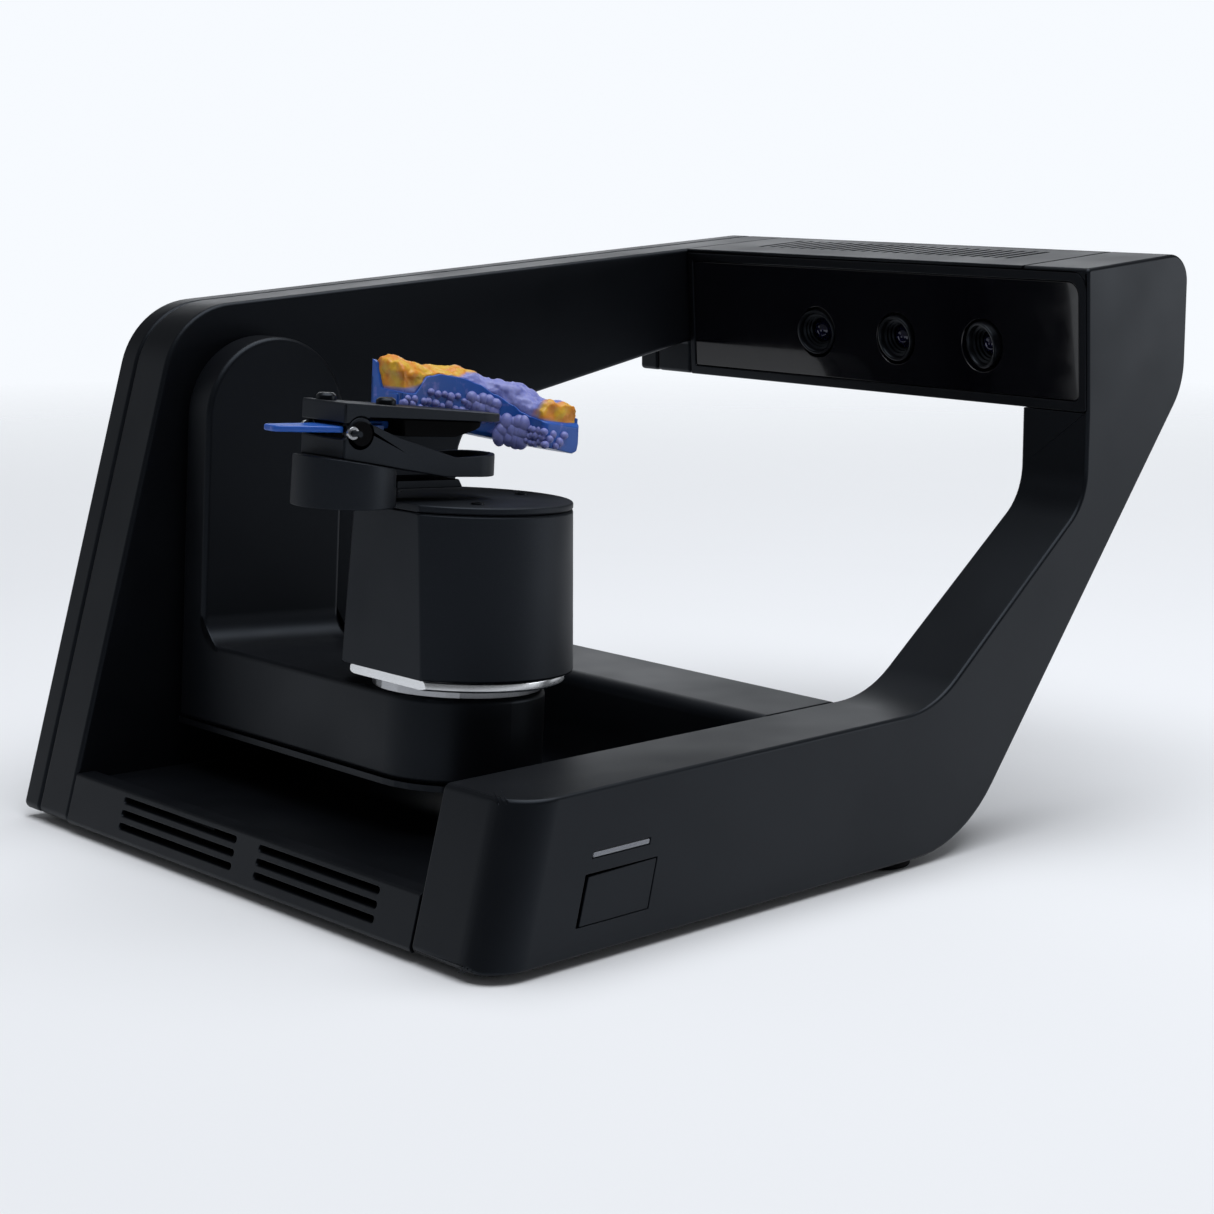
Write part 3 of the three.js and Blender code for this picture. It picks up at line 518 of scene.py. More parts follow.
def near_frame():
    """Rail, leg and near end of the head in one moulding, hollow behind the controls."""
    side = [
        (0, 0, 3), (FRONT_SLOPE * RAIL_TOP, RAIL_TOP, 3), (237.3, RAIL_TOP, 50),
        (HEAD_FRONT, 133.4, 25), (HEAD_FRONT, HEAD_BOTTOM), (330.4, top(330.4), 2),
        (BACK, top(BACK), 12), (BACK, 177, 30), (257.4, 0, 62),
    ]
    arc = rounded_corner(Vector((0, 0)), Vector((1, 0)), Vector((0, 1)), FRONT_CORNER)
    plan = [(-9, -9), (FRONT_CORNER, -9), *arc, (-9, FRONT_CORNER)]
    corner = reshaped(prism("z", plan, -5, 80), lambda x, y, z: (x + FRONT_SLOPE * z, y, z))
    body = cut(near_side(prism("y", side, 0, RAIL_THICK)), near_side(corner))
    body = softened(body, 1.6, segments=4)
    panel_seat = [(21.3, 169.7, 2), (80, 169.7), (80, 227.9), (21.3, 227.9, 7.3)]
    body = cut(
        body,
        near_side(box(34, 205, 6, 38, -2, 50)),
        raked(prism("x", panel_seat, -20, 7.7)),
        near_side(prism("y", LIGHT_SLOT, -3, 8)),
        near_side(prism("y", KEY_SLOT, -3, 8)),
    )
    # rounding the corner leaves a point below the flat underside
    body = reshaped(softened(body, 0.35, 50, 2), lambda x, y, z: (x, y, max(z, 0)))
    piece("near_frame_shell", body, SHELL, "base", ["near_frame"])


FAR_SIDE = [
    (0, 0, 3), (59.3, 211.7, 35), (BACK, top(BACK), 12), (BACK, HEAD_BOTTOM, 12),
    (HEAD_FRONT, HEAD_BOTTOM), (HEAD_FRONT, 185.4), (200, 156.8, 26), (194, RAIL_TOP, 14),
    (222, RAIL_TOP, 4), (240, 0, 3),
]
FAR_POCKET = [
    (9, 6, 4), (63.5, 204.5, 28), (322, 222, 5), (322, 190, 5), (195.5, 162.5, 22),
    (189.5, 54, 4), (216, 54, 4), (231, 6, 4),
]


def far_frame():
    """Far wall with the boss that carries the arm's axle, and its outer cover."""
    wall = softened(far_side(prism("y", FAR_SIDE, FAR_INNER, FAR_SPLIT - GAP)), 1.8, segments=4)
    pocket = far_side(prism("y", FAR_POCKET, FAR_INNER + 4, FAR_SPLIT + 2))
    boss = rod("y", 30, (HUB_X, HUB_Z), ARM_BACK + 0.5, 280)
    bore = rod("y", 18.3, (HUB_X, HUB_Z), 260, 300)
    body = softened(cut(joined(cut(wall, pocket), boss), bore), 0.5, 50, 2)
    piece("far_frame_shell", body, SHELL, "base", ["far_frame"])
    shell = softened(far_side(prism("y", FAR_SIDE, FAR_SPLIT, WIDTH)), 1.8, segments=4)
    hollow = far_side(prism("y", FAR_POCKET, FAR_SPLIT - 2, WIDTH - 3.5))
    piece("far_cover_shell", cut(shell, hollow), SHELL, "base", ["far_cover"])


def base_tray():
    """Sill with its vents, sunk floor and rear rim with the vents and sockets."""
    skin = [
        (0, 0, 2), (FRONT_SLOPE * 21, 21, 1.5), (14, 21, 1.5), (18, 18, 2), (166, 18, 14),
        (176, RAIL_TOP, 7), (221.6, RAIL_TOP, 5), (221.6, 0),
    ]
    hollow = [
        (5, -2), (9.9, 17.9), (14.5, 17.9), (18, 15), (169, 15, 11), (179.5, 56, 4),
        (218.5, 56, 2), (218.5, -2),
    ]
    body = common(prism("y", skin, 20, 300), between(-1, 225, -1, 70))
    body = cut(body, prism("y", hollow, 10, 310))
    front = []
    for z in (17.2, 12.1, 7):
        for y0, y1 in ((161, 243.5), (68, 145.5)):
            low = z - VENT_HALF
            high = z + VENT_HALF
            vent = [(y0, low, 1.2), (y1, low, 1.2), (y1, high, 1.2), (y0, high, 1.2)]
            front.append(prism("x", vent, -6, 9.6))
    rear = [box(216, 224, 80 + 10 * i, 84 + 10 * i, 16, 44) for i in range(8)]
    sockets = [box(216, 224, 193, 207.6, 12.5, 27.5), box(216, 224, 222, 236, 13, 26)]
    body = cut(body, merged(*front), merged(*rear, *sockets))
    piece("base_tray_shell", softened(body, 0.4, 40, 2), SHELL, "base", ["base_tray"])


def head():
    """Head casing between the side frames, and its slotted top cover."""
    section = [
        (341.2, 170), (BACK, 170, 12), (BACK, top(BACK), 12), (388, top(388)), (388, top(388) - 3.2),
        (399.5, top(388) - 3.2, 8), (399.5, 173, 9), (341.2, 173),
    ]
    body = common(prism("y", section, 10, 310), between(*HEAD_SPACE))
    piece("head_housing_shell", softened(body, 0.3, 50, 2), SHELL, "base", ["head_housing"])
    section = [
        (330.9, 227.9), (344, 228.4), (387.7, 230.6), (387.7, top(387.7)),
        (330.5, top(330.5), 0.6),
    ]
    plate = common(prism("y", section, 10, 310), between(*HEAD_SPACE))
    slots = [box(352, 380, 82 + 6.6 * i, 84.6 + 6.6 * i, 220, 240) for i in range(24)]
    plate = softened(cut(plate, merged(*slots)), 0.3, 50, 2)
    piece("head_top_shell", plate, SHELL, "base", ["head_top_cover"])
    head_panel()


def head_panel():
    """Raked frame of the window, and the pane with a hole for each lens."""
    far = FAR_INNER - TOE_IN * (HEAD_FRONT + 8) - GAP
    rim = prism("x", [(21.6, 170, 1.7), (far, 170), (far, 227.6), (21.6, 227.6, 7)], 0, 7.4)
    opening = [(25.4, 174.2, 3), (far - 3.2, 174.2, 1), (far - 3.2, 223.8, 1), (25.4, 223.8, 6)]
    rim = softened(cut(rim, prism("x", opening, -2, 10)), 0.5, 50, 3)
    piece("bezel_rim", raked(rim), DARK, "base", ["front_bezel"])
    pane = [(25.7, 174.5, 2.7), (far - 3.5, 174.5, 0.7), (far - 3.5, 223.5, 0.7), (25.7, 223.5, 5.7)]
    holes = [rod("x", LENS_HOLE, (place[0], LENS_Z), -8, 12) for place in LENSES.values()]
    glass = softened(cut(prism("x", pane, 0.5, 3.5), merged(*holes)), 0.35, 50, 3)
    piece("window_pane", raked(glass), GLOSS, "base", ["front_window"])


def aimed(mesh, y, toe):
    """Puts a solid turned about Z into the head, its front at the window, aimed at the table."""
    down = Matrix.Rotation(math.radians(90 - LENS_DOWN), 4, "Y")
    place = Matrix.Translation((HEAD_RAKE - HEAD_LEAN * LENS_Z + 0.4, y, LENS_Z))
    mesh.transform(place @ Matrix.Rotation(math.radians(toe), 4, "Z") @ down)
    return mesh


def optics():
    """Stepped barrel and domed lens of each camera and of the projector."""
    barrel = [
        (0, 6), (5.6, 6), (5.6, 4.9), (6.3, 4.5), (6.3, 3.4), (7.1, 3), (7.1, 1.9), (8.1, 1.4),
        (8.4, -0.2), (8.8, -0.8), (9.4, -0.9), (9.9, -0.7), (10.1, -0.2), (10.1, 10), (8.5, 10),
        (8.5, 18.5), (0, 18.5),
    ]
    angles = [i / 8 for i in range(1, 9)]
    dome = [(5.2 * math.sin(a), 2.4 + 2.4 * (1 - math.cos(a)) / 0.46) for a in angles]
    lens = [(0, 2.4), *dome, (5.2, 5.6), (0, 5.7)]
    for name, (y, toe) in LENSES.items():
        ring = aimed(turned(barrel), y, toe)
        piece(name + "_housing", ring, DARK, "base", [name + "_barrel"], sharp=24)
        glass = aimed(turned(lens), y, toe)
        piece(name + "_glass", glass, GLASS, "base", [name + "_lens"])


def controls():
    """Milky window of the status light, and the power key with its stem."""
    light = softened(near_side(prism("y", LIGHT_FACE, 0.1, 5.8)), 0.2, 50, 2)
    piece("status_window", light, LAMP, "base", ["status_light"])
    face = softened(prism("y", KEY_FACE, 0.2, 4.5), 0.35, 50, 3)
    button = joined(face, rod("y", 2, (67, 20), 4.4, 6.4))
    piece("power_key", near_side(button), SHELL, "button", ["power_button"])


def feet():
    profile = [
        (0, -3.5), (9, -3.5), (9.7, -3.3), (10.6, -2.9), (11, -2.3), (11, -0.5), (10.8, -0.3),
        (0, -0.3),
    ]
    for i, (x, y) in enumerate(FEET, 1):
        name = "foot_%d" % i
        piece(name + "_pad", moved(turned(profile), x, y), RUBBER, "base", [name], sharp=60)


def foot_plan(inset):
    """Outline of the arm's flat part seen from above, drawn in by an inset."""
    half = ARM_HALF - inset
    end = TABLE_Y - half
    back = ARM_BACK - 1.4 * inset
    return [
        (HUB_X - half, back), (HUB_X - half, end, half - 0.01),
        (HUB_X + half, end, half - 0.01), (HUB_X + half, back),
    ]


def arm():
    """Upright and flat part of the swing arm, hollow under the turntable."""
    x0 = HUB_X - ARM_HALF
    x1 = HUB_X + ARM_HALF
    crown = HUB_Z + ARM_HALF
    round_end = ARM_HALF - 0.01
    face = [(x0, FOOT_BOTTOM), (x1, FOOT_BOTTOM), (x1, crown, round_end), (x0, crown, round_end)]
    fillet = [
        (ARM_FACE + 1, FOOT_TOP - 1), (ARM_FACE + 1, FOOT_TOP + 12), (ARM_FACE, FOOT_TOP + 12),
        (ARM_FACE, FOOT_TOP, 12), (ARM_FACE - 12, FOOT_TOP), (ARM_FACE - 12, FOOT_TOP - 1),
    ]
    body = joined(
        prism("y", face, ARM_FACE, ARM_BACK),
        prism("z", foot_plan(0), FOOT_BOTTOM, FOOT_TOP),
        prism("x", fillet, x0, x1),
    )
    body = softened(body, 2.2, 40, 4)
    body = cut(
        body,
        prism("z", foot_plan(4.5), FOOT_BOTTOM - 2, FOOT_TOP - 4.7),
        rod("z", 14.3, (HUB_X, TABLE_Y), 60, 80),
        rod("y", 12.3, (HUB_X, HUB_Z), 262, 280),
    )
    piece("arm_body", body, SHELL, "arm", ["arm_shell"], ARM)


def riser():
    """Bright ring, drum and screwed lid of the turntable."""
    band = [
        (0, 75.3), (40.4, 75.3), (41.2, 75.6), (41.7, 76.2), (41.7, 78.4), (41.4, 78.9), (41, 79.2),
        (0, 79.2),
    ]
    ring = softened(cut(turned(band, 160), box(-60, FACET + 3, -60, 60, 60, 150)), 0.3, 40, 2)
    piece("rotor_ring", ring, SILVER, "table", ["turn_ring"], TABLE)
    side = [
        (0, RISER_BOTTOM), (44.2, RISER_BOTTOM), (44.8, 79.8), (45, 80.5), (42.35, RISER_TOP - 0.9),
        (42.1, RISER_TOP - 0.3), (41.6, RISER_TOP), (0, RISER_TOP),
    ]
    hollow = turned([(0, 70), (33.5, 70), (33.5, 139.5), (0, 139.5)])
    flat = box(-60, FACET, -60, 60, 60, 150)
    body = softened(cut(turned(side, 160), flat), 0.7, 25)
    piece("riser_body", cut(body, hollow), CLAMP, "table", ["riser"], TABLE)
    disc = [
        (0, RISER_TOP + GAP), (41.8, RISER_TOP + GAP), (42.3, RISER_TOP + 0.9), (42.3, LID_TOP - 0.9),
        (42.1, LID_TOP - 0.3), (41.5, LID_TOP), (0, LID_TOP),
    ]
    angles = [math.radians(a) for a in SCREW_ANGLES]
    places = [(SCREW_CIRCLE * math.cos(a), SCREW_CIRCLE * math.sin(a)) for a in angles]
    wells = [rod("z", 2.8, place, 144, 150) for place in places]
    body = softened(cut(turned(disc, 160), flat, merged(*wells)), 0.25, 40, 2)
    piece("lid_disc", body, CLAMP, "table", ["lid"], TABLE)
    for i, (x, y) in enumerate(places, 1):
        socket = rod("z", 1.2, (x, y), 145, 150, 6)
        crown = [(0, 144.3), (2.5, 144.3), (2.5, 145.7), (2.3, 146.2), (1.9, 146.3), (0, 146.3)]
        screw = cut(moved(turned(crown, 48), x, y), socket)
        name = "lid_socket_screw_%d" % i
        piece(name, screw, DARK, "table", ["lid_screw_%d" % i], TABLE)


def jaw_plan(half, x0, x1, z0, z1):
    """A jaw's outline from above: square at the hinge, round at the tip."""
    tip = half - 0.01
    return prism("z", [(x0, -half, 1), (x1, -half, tip), (x1, half, tip), (x0, half, 1)], z0, z1)


def clamp():
    """The clamp's round foot, its cross bar, and both jaws with their fasteners."""
    side = [(0, 143.9), (19.2, 143.9), (19.6, 144.1), (19.7, 144.5), (19.1, 170), (0, 170)]
    underside = [
        (-100, 165.9), (CLAMP_LEFT, 162), (-44.1, 158.4), (-27, 155.3), (-13, 154.4),
        (-13, 190), (-100, 190),
    ]
    puck = cut(moved(turned(side, 128), PUCK_X), prism("y", underside, -40, 40))
    piece("puck_body", softened(puck, 0.4, 50), CLAMP, "table", ["clamp_puck"], TABLE)
    bar = prism("y", [(-46, 150.4), (-8.7, 150.4), (-10.6, 153.5), (-46, 153.5)], -10, 10)
    bridge = joined(bar, rod("z", 3.5, (-31, 7), LID_TOP + GAP, 150.6))
    bridge = softened(cut(bridge, rod("z", PUCK_RADIUS + GAP, (PUCK_X, 0), 140, 170, 128)), 0.35, 50)
    piece("bridge_bar", bridge, DARK, "table", ["clamp_bridge"], TABLE)
    lower_jaw()
    upper_jaw()
    fasteners()


def lower_jaw():
    """Scoop-shaped jaw with hinge ears, open at the top."""
    side = [
        (CLAMP_LEFT, 162.4, 0.8), (-44.1, 158.8, 20), (-20, 154.8, 14), (10.3, 154.2, 0.8),
        (10.3, 162.9, 0.8), (-15, 162.1, 12), (-42.3, 169.95, 6), (-56, 175.4), (-62, 173),
        (CLAMP_LEFT, 169.7, 0.8),
    ]
    mouth = [
        (-69, 190), (-69, 169.7), (-65.4, 169.7), (-60.4, 163.2), (-15, 157.5), (7.9, 157.3),
        (7.9, 190),
    ]
    lug = rod("y", 6, (PIVOT_X, PIVOT_Z), -CLAMP_HALF, CLAMP_HALF)
    body = joined(prism("y", side, -CLAMP_HALF, CLAMP_HALF), lug)
    body = common(body, jaw_plan(CLAMP_HALF, CLAMP_LEFT, 10.3, 140, 190))
    hollow = common(prism("y", mouth, -EAR_INNER, EAR_INNER), jaw_plan(EAR_INNER, -90, 7.9, 140, 195))
    bores = [
        rod("y", 1.75, (PIVOT_X, PIVOT_Z), -20, 20, 32),
        rod("y", 1.1, (PIVOT_X - 4.4, PIVOT_Z + 0.3), -20, 20, 24),
    ]
    body = softened(cut(body, hollow), 0.5, 40)
    piece("lower_jaw_body", cut(body, merged(*bores)), CLAMP, "table", ["clamp_lower"], TABLE)


def upper_jaw():
    """Flat jaw with a hinge neck, its rubber pad and two caps."""
    side = [
        (CLAMP_LEFT, 175.6, 0.6), (-60, 175.6), (-56, 177.6), (12, 175.1, 0.3), (12, 178, 0.5),
        (CLAMP_LEFT, 183.1, 1),
    ]
    neck = [(-64.4, 176.5), (-64.4, PIVOT_Z), (-56, PIVOT_Z), (-55, 178.5), (-62, 179)]
    at = (PIVOT_X, PIVOT_Z)
    reliefs = merged(rod("y", 6.4, at, -20, 0.3 - EAR_INNER), rod("y", 6.4, at, EAR_INNER - 0.3, 20))
    body = cut(prism("y", side, -CLAMP_HALF, CLAMP_HALF), reliefs)
    body = joined(body, prism("y", neck, -11.4, 11.4), rod("y", 4.3, at, -11.4, 11.4))
    body = cut(body, box(-70, -50, -7.6, 7.6, 160, 175.7))
    body = common(body, jaw_plan(CLAMP_HALF, CLAMP_LEFT, 12, 140, 190))
    body = softened(body, 0.4, 50)
    seats = [rod("z", 4.1, (x, y), z - 0.8, 190) for x, y, z in CLAMP_KNOBS]
    body = cut(body, rod("y", 1.6, at, -20, 20, 32), merged(*seats))
    piece("upper_jaw_body", body, CLAMP, "jaw", ["clamp_upper"], TABLE)
    cushion = [(-39, 170.2, 1), (-14, 169.7, 5), (0, 173.2, 2), (3, 175), (-39, 176.6)]
    pad = common(prism("y", cushion, -11.4, 11.4), jaw_plan(11.4, -39, 3.5, 160, 180))
    pad = softened(pad, 0.4, 50)
    piece("jaw_cushion", pad, RUBBER, "jaw", ["clamp_pad"], TABLE)
    knob = [
        (0, -0.5), (3.7, -0.5), (3.8, -0.2), (3.8, 1.5), (3.6, 1.9), (2.9, 2.5), (2.5, 2.7), (0, 2.8),
    ]
    for i, (x, y, z) in enumerate(CLAMP_KNOBS, 1):
        name = "clamp_knob_%d" % i
        piece(name + "_cap", moved(turned(knob, 64), x, y, z), DARK, "jaw", [name], TABLE)


def fasteners():
    """Flanged hinge pins and the hexagon-socket screws beside them; each black flange is centred to the
    right of its screw, so its dark crescent is also painted shadow of the screw head.
    """
    x = PIVOT_X - 4.4
    z = PIVOT_Z + 0.3
    for i, side in enumerate((-1, 1), 1):
        def pin(radius, low, high, at, sides=64):
            return rod("y", radius, at, *sorted((side * low, side * high)), sides)

        # black flange centred on the pivot, right of the off-centre screw: the dark crescent it shows
        # beside the screw head is painted shadow
        flange_and_shadow = softened(pin(4.6, 14.3, 15.1, (PIVOT_X, PIVOT_Z)), 0.25, 50)
        body = cut(joined(flange_and_shadow, pin(1.45, 9, 14.5, (PIVOT_X, PIVOT_Z))), pin(2.75, 14, 16, (x, z)))
        name = "pivot_pin_%d" % i
        piece(name + "_flange", body, RUBBER, "table", [name], TABLE)
        cap = softened(pin(2.45, 14.3, 15.8, (x, z)), 0.3, 50)
        screw = cut(joined(cap, pin(0.9, 12.6, 14.5, (x, z), 32)), pin(1.45, 14.45, 17, (x, z), 6))
        name = "pin_screw_%d" % i
        piece(name + "_cap", screw, STEEL, "table", [name], TABLE)


# ---- sample: perforated quarter-arch tray with its impression ----
def route_point(t):
    """Place and direction on the sample's centre line, t from 0 to 1."""
    spans = len(SAMPLE_ROUTE) - 1
    span = min(int(t * spans), spans - 1)
    u = t * spans - span
    ends = [min(max(span + k, 0), spans) for k in (-1, 0, 1, 2)]
    a, b, c, d = [Vector(SAMPLE_ROUTE[k]) for k in ends]
    line = c - a
    bend = a * 2 - b * 5 + c * 4 - d
    twist = b * 3 - a - c * 3 + d
    spot = (b * 2 + line * u + bend * u**2 + twist * u**3) / 2
    way = line + bend * 2 * u + twist * 3 * u**2
    return spot, way.normalized()


def on_arch(t, across, z):
    """A point beside the sample's centre line; across is positive to the left of its direction."""
    spot, way = route_point(t)
    x = spot.x - way.y * across
    y = spot.y + way.x * across
    return Vector((x, y, z - DROOP * x))


def swept(section, steps=60, start=0.0, end=1.0):
    """A closed section of (across, z) points, or a rule of t that gives one, along the arch."""
    rings = []
    for i in range(steps + 1):
        t = start + (end - start) * i / steps
        points = section(t) if callable(section) else section
        rings.append([on_arch(t, across, z) for across, z in points])
    return lofted(rings)


def along(heights, t):
    """A height between those given at parts of the sample's length."""
    for (start, low), (end, high) in zip(heights, heights[1:]):
        if t <= end:
            share = (t - start) / (end - start)
            return low + (high - low) * share * share * (3 - 2 * share)
    return heights[-1][1]


def tray_section(t):
    """U-shaped trough: the rim of its inner wall dips and rises along the arch."""
    inner = along(TRAY_RIM, t)
    return [
        (-SAMPLE_HALF, inner), (-9.2, 176), (-8.6, 173), (-6.5, 171.6), (6.5, 171.6), (8.8, 173),
        (SAMPLE_HALF, 176), (SAMPLE_HALF, 186), (7.9, 186), (7.8, 176), (6, 174.2), (-6, 174.2),
        (-7.6, 176), (-7.8, inner),
    ]


# wall that closes the trough's first end, high at its outer corner
FIRST_END = [
    (-SAMPLE_HALF, 181), (-9.2, 176), (-8.6, 173), (8.8, 173), (SAMPLE_HALF, 176),
    (SAMPLE_HALF, 192.5), (7, 191.5), (3.4, 181.6),
]
LAST_END_FROM = 0.93  # part of the sample's length where its last end starts


def last_end(t):
    """Wall that closes the trough's last end and rounds off towards it."""
    past = (t - LAST_END_FROM) / 0.07
    half = SAMPLE_HALF * math.sqrt(1 - 0.4 * past**4)
    return [
        (-half, 182 - past), (-half, 176), (-half + 0.8, 173), (-half + 2.9, 171.6),
        (half - 2.9, 171.6), (half - 0.6, 173), (half, 176), (half, 185 - 3 * past),
    ]


def sample():
    """Tray made of trough, end walls and handle, with the impression and its beads."""
    walls = [
        swept(tray_section, end=0.95),
        swept(FIRST_END, 4, 0, 0.035),
        swept(last_end, 10, LAST_END_FROM, 1),
    ]
    walls = [softened(wall, 0.4, 40) for wall in walls]
    grip = [
        (-91.3, -4.5, 3), (-68.2, -12, 1), (-66.6, -12, 0.5), (-65.4, -6.5, 0.5), (-44, -6.5, 0.5),
        (-44, 6.5, 0.5), (-66.5, 6.5), (-91.3, 5, 3),
    ]
    neck = [(-50, -4), (-40.2, -4), (-40.2, 14), (-17, 22), (-19, 31), (-46, 16), (-50, 5)]
    handle = joined(
        prism("z", grip, 172, 174.3),
        prism("z", neck, 172.6, 175.5),
        box(-19, -9, 20, 31, 172.6, 184),
    )
    handle = softened(handle, 0.6, 40)
    tray = merged(*walls, handle)
    piece("tray_body", tray, TRAY, "table", ["sample_tray"], TABLE)
    impression()
    beads()


def impression():
    """Silicone heaped in the trough: lumpy, with tooth dents, warm-coloured at both ends."""
    def section(t):
        high = along(HEAP_TOP, t) + 0.8 * math.sin(23 * t)
        rim = along(TRAY_RIM, t)
        points = [(-7.4, 174.6), (7.4, 174.6), (7.6, 183), (8.6, 186.8), (8.2, high - 2.6)]
        points += [(6.2, high), (3.2, high - 0.6), (0, high - 2), (-3.2, high - 1.2), (-6.2, high - 3)]
        return points + [(-8.2, max(rim + 0.6, high - 6)), (-8.6, rim + 0.3), (-7.5, rim - 2)]

    mesh = swept(section, 60, 0.02, 0.955)
    mesh = evaluated(mesh, "REMESH", mode="VOXEL", voxel_size=0.7)
    tints = []
    # lumps large and small, only above the trough
    for vertex in mesh.vertices:
        lump = noise.noise(vertex.co * 0.22) * 1.1
        lump += noise.noise(vertex.co * 0.6 + Vector((9, 0, 0))) * 0.45
        high = min(1, max(0, (vertex.co.z + DROOP * vertex.co.x - 182) / 4))
        vertex.co += vertex.normal * lump * high
    # warm towards the user and at the last end, above the trough
    for vertex in mesh.vertices:
        x, y, z = vertex.co
        height = z + DROOP * x
        lean = 3.4 if height > 190 else 2.2
        left = 2 + lean * (height - 190) - x + 6 * noise.noise(vertex.co * 0.16)
        right = 3 * noise.noise(vertex.co * 0.3) + 1 - y
        up = height - 182.5
        tints.append(min(1, max(0, max(left, right) * 0.35)) * min(1, max(0, up * 0.8 + 0.6)))
    tint = mesh.attributes.new("tint", "FLOAT", "POINT")
    tint.data.foreach_set("value", tints)
    piece("impression_heap", mesh, SILICONE, "table", ["sample_impression"], TABLE, sharp=80)


def beads():
    """Silicone beads that came through the holes of the inner wall and of the last end."""
    rng = random.Random(4)
    bm = bmesh.new()
    for start, end, low, high, count, smallest, largest, tallness in BEADS:
        for i in range(count):
            t = start + (end - start) * (i + rng.uniform(0.3, 0.7)) / count
            share = (i % 3 + rng.uniform(0.2, 0.6)) / 3
            size = rng.uniform(smallest, largest)
            across = max(0, t - 1) * ROUND_THE_END + 0.3 * size - SAMPLE_HALF
            centre = on_arch(min(t, 1), across, low + (high - low) * share)
            squeeze = Matrix.Diagonal((1, 1, tallness * rng.uniform(0.85, 1.1), 1))
            place = Matrix.Translation(centre) @ squeeze
            bmesh.ops.create_icosphere(bm, subdivisions=3, radius=size, matrix=place)
    mesh = bpy.data.meshes.new("shape")
    bm.to_mesh(mesh)
    bm.free()
    piece("impression_beads", mesh, SILICONE, "table", [], TABLE, sharp=80)


# ---- CAD nodes that are shown as they are ----
CAD_MATERIALS = [
    (DARK, ["bottom_cover", "rail_cover", "arm_bottom_cover", "fan_housing", "fan_rotor", "power_inlet",
            "swing_motor", "turn_motor"]),
    (STEEL, ["optics_bracket", "usb_port", "swing_bearing", "swing_shaft", "swing_pinion",
             "turn_bearing", "turn_pinion", "turn_shaft"]),
    (BOARD, ["light_board", "main_board", "power_board"]),
]


def finish_cad_nodes():
    for material, names in CAD_MATERIALS:
        for name in names:
            obj = frame["nodes"][name]
            obj.data.materials.clear()
            obj.data.materials.append(material)
            bevel = obj.modifiers.new("soft edges", "BEVEL")
            bevel.width = 0.2 * MM
            bevel.segments = 2
            bevel.limit_method = "ANGLE"
            bevel.angle_limit = math.radians(50)


# ---- floor, lights and camera ----
FLOOR_HALF = 2.2
FADE_START = 0.7
FADE_END = 0.95 * FLOOR_HALF
STUDIO_WHITE = (0.93, 0.96, 1.0)
AMBIENT = 0.12  # strength of the white surroundings as a light
AIM = (0, 0, 0.11)
# name, place and size in metres, power in watts
SOFTBOXES = [
    ("overhead", (0.1, -0.2, 2.0), (2.4, 2.0), 52),
    ("user_side", (-1.5, 1.6, 0.6), (1.6, 1.0), 2),
    ("near_side", (1.9, -1.2, 0.3), (1.4, 0.5), 7.2),
    ("behind", (1.5, 1.7, 0.8), (2.4, 0.5), 7),
    ("window_strip", (-0.63, 0.505, 0.06), (0.12, 0.1), 0.02),
]
# the camera in the design's millimetres, turned and raised by degrees
CAMERA_PLACE = (-546.45, -696.57, 286.63)
CAMERA_AROUND = -40.748
CAMERA_ABOVE = 10.041
CAMERA_LENS = 80.53


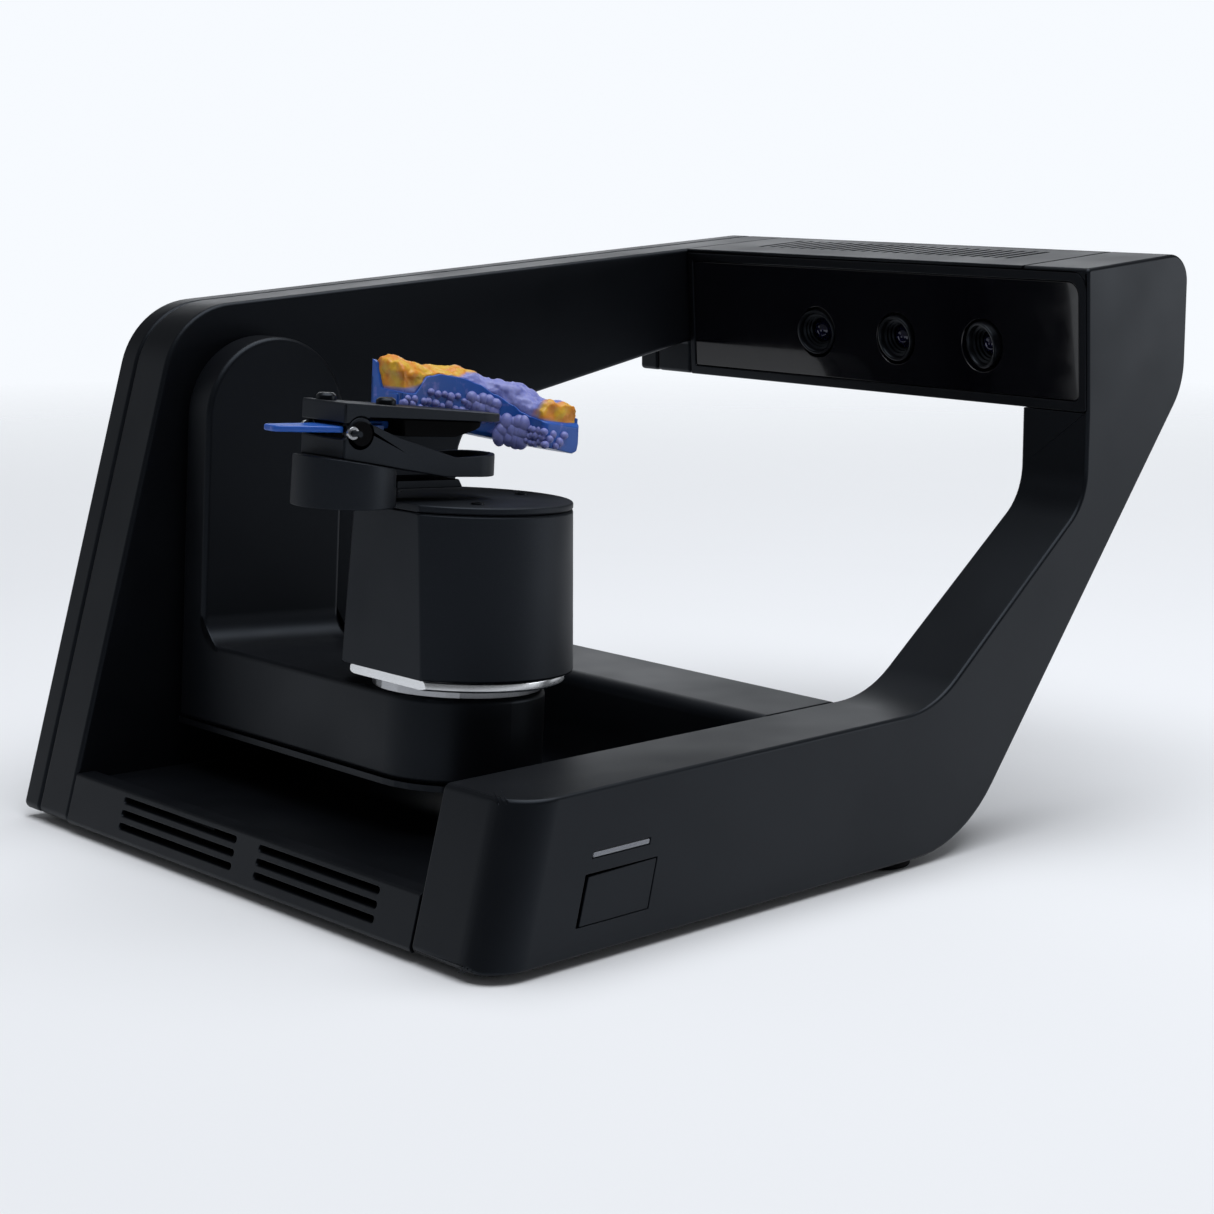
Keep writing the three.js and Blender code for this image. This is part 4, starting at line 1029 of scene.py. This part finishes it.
def floor():
    """Pale floor that fades into the white surroundings away from the object."""
    bm = bmesh.new()
    bmesh.ops.create_grid(bm, x_segments=8, y_segments=8, size=FLOOR_HALF)
    mesh = bpy.data.meshes.new("floor")
    bm.to_mesh(mesh)
    bm.free()
    m = Nodes("floor", (0.86, 0.86, 0.87), 0.8, Specular_IOR_Level=0.1)
    m.link(m.mixed(m.noise(300, 2), (0.85, 0.85, 0.86), (0.87, 0.87, 0.88)), "Base Color")
    distance = m.node("VectorMath", {0: m.place}, operation="LENGTH").outputs["Value"]
    m.link(m.ramp(distance, 1, 0, FADE_START, FADE_END), "Alpha")
    mesh.materials.append(m.material)
    obj = bpy.data.objects.new("floor", mesh)
    bpy.context.scene.collection.objects.link(obj)


def softbox(name, place, size, power):
    """An area light aimed at the object and not itself seen by the camera."""
    data = bpy.data.lights.new(name, "AREA")
    data.shape = "RECTANGLE"
    data.size, data.size_y = size
    data.energy = power
    data.color = STUDIO_WHITE
    obj = bpy.data.objects.new(name, data)
    obj.location = place
    obj.rotation_euler = (Vector(AIM) - Vector(place)).to_track_quat("-Z", "Y").to_euler()
    obj.visible_camera = False
    bpy.context.scene.collection.objects.link(obj)


def studio():
    """White surroundings that light the object weakly, and softboxes that shape it."""
    world = bpy.data.worlds.new("studio")
    world.use_nodes = True
    tree = world.node_tree
    background = tree.nodes["Background"]
    background.inputs["Color"].default_value = (*STUDIO_WHITE, 1)
    seen = tree.nodes.new("ShaderNodeLightPath")
    strength = tree.nodes.new("ShaderNodeMapRange")
    strength.inputs["To Min"].default_value = AMBIENT
    strength.inputs["To Max"].default_value = 1.0
    tree.links.new(seen.outputs["Is Camera Ray"], strength.inputs["Value"])
    tree.links.new(strength.outputs["Result"], background.inputs["Strength"])
    bpy.context.scene.world = world
    for name, place, size, power in SOFTBOXES:
        softbox(name, place, size, power)
    bpy.context.scene.view_settings.view_transform = "Standard"


def camera():
    """A long lens, level with the head's top, from the user's near side."""
    data = bpy.data.cameras.new("camera")
    data.sensor_width = 36
    data.lens = CAMERA_LENS
    obj = bpy.data.objects.new("camera", data)
    bpy.context.scene.collection.objects.link(obj)
    around = math.radians(CAMERA_AROUND)
    above = math.radians(CAMERA_ABOVE)
    level = math.cos(above)
    back = Vector((math.sin(around) * level, -math.cos(around) * level, math.sin(above)))
    obj.rotation_mode = "QUATERNION"
    obj.rotation_quaternion = (-back).to_track_quat("-Z", "Y")
    obj.location = BASE @ Vector(CAMERA_PLACE)
    bpy.context.scene.camera = obj


camera()
near_frame()
far_frame()
base_tray()
head()
optics()
controls()
feet()
arm()
riser()
clamp()
sample()
finish_cad_nodes()
floor()
studio()
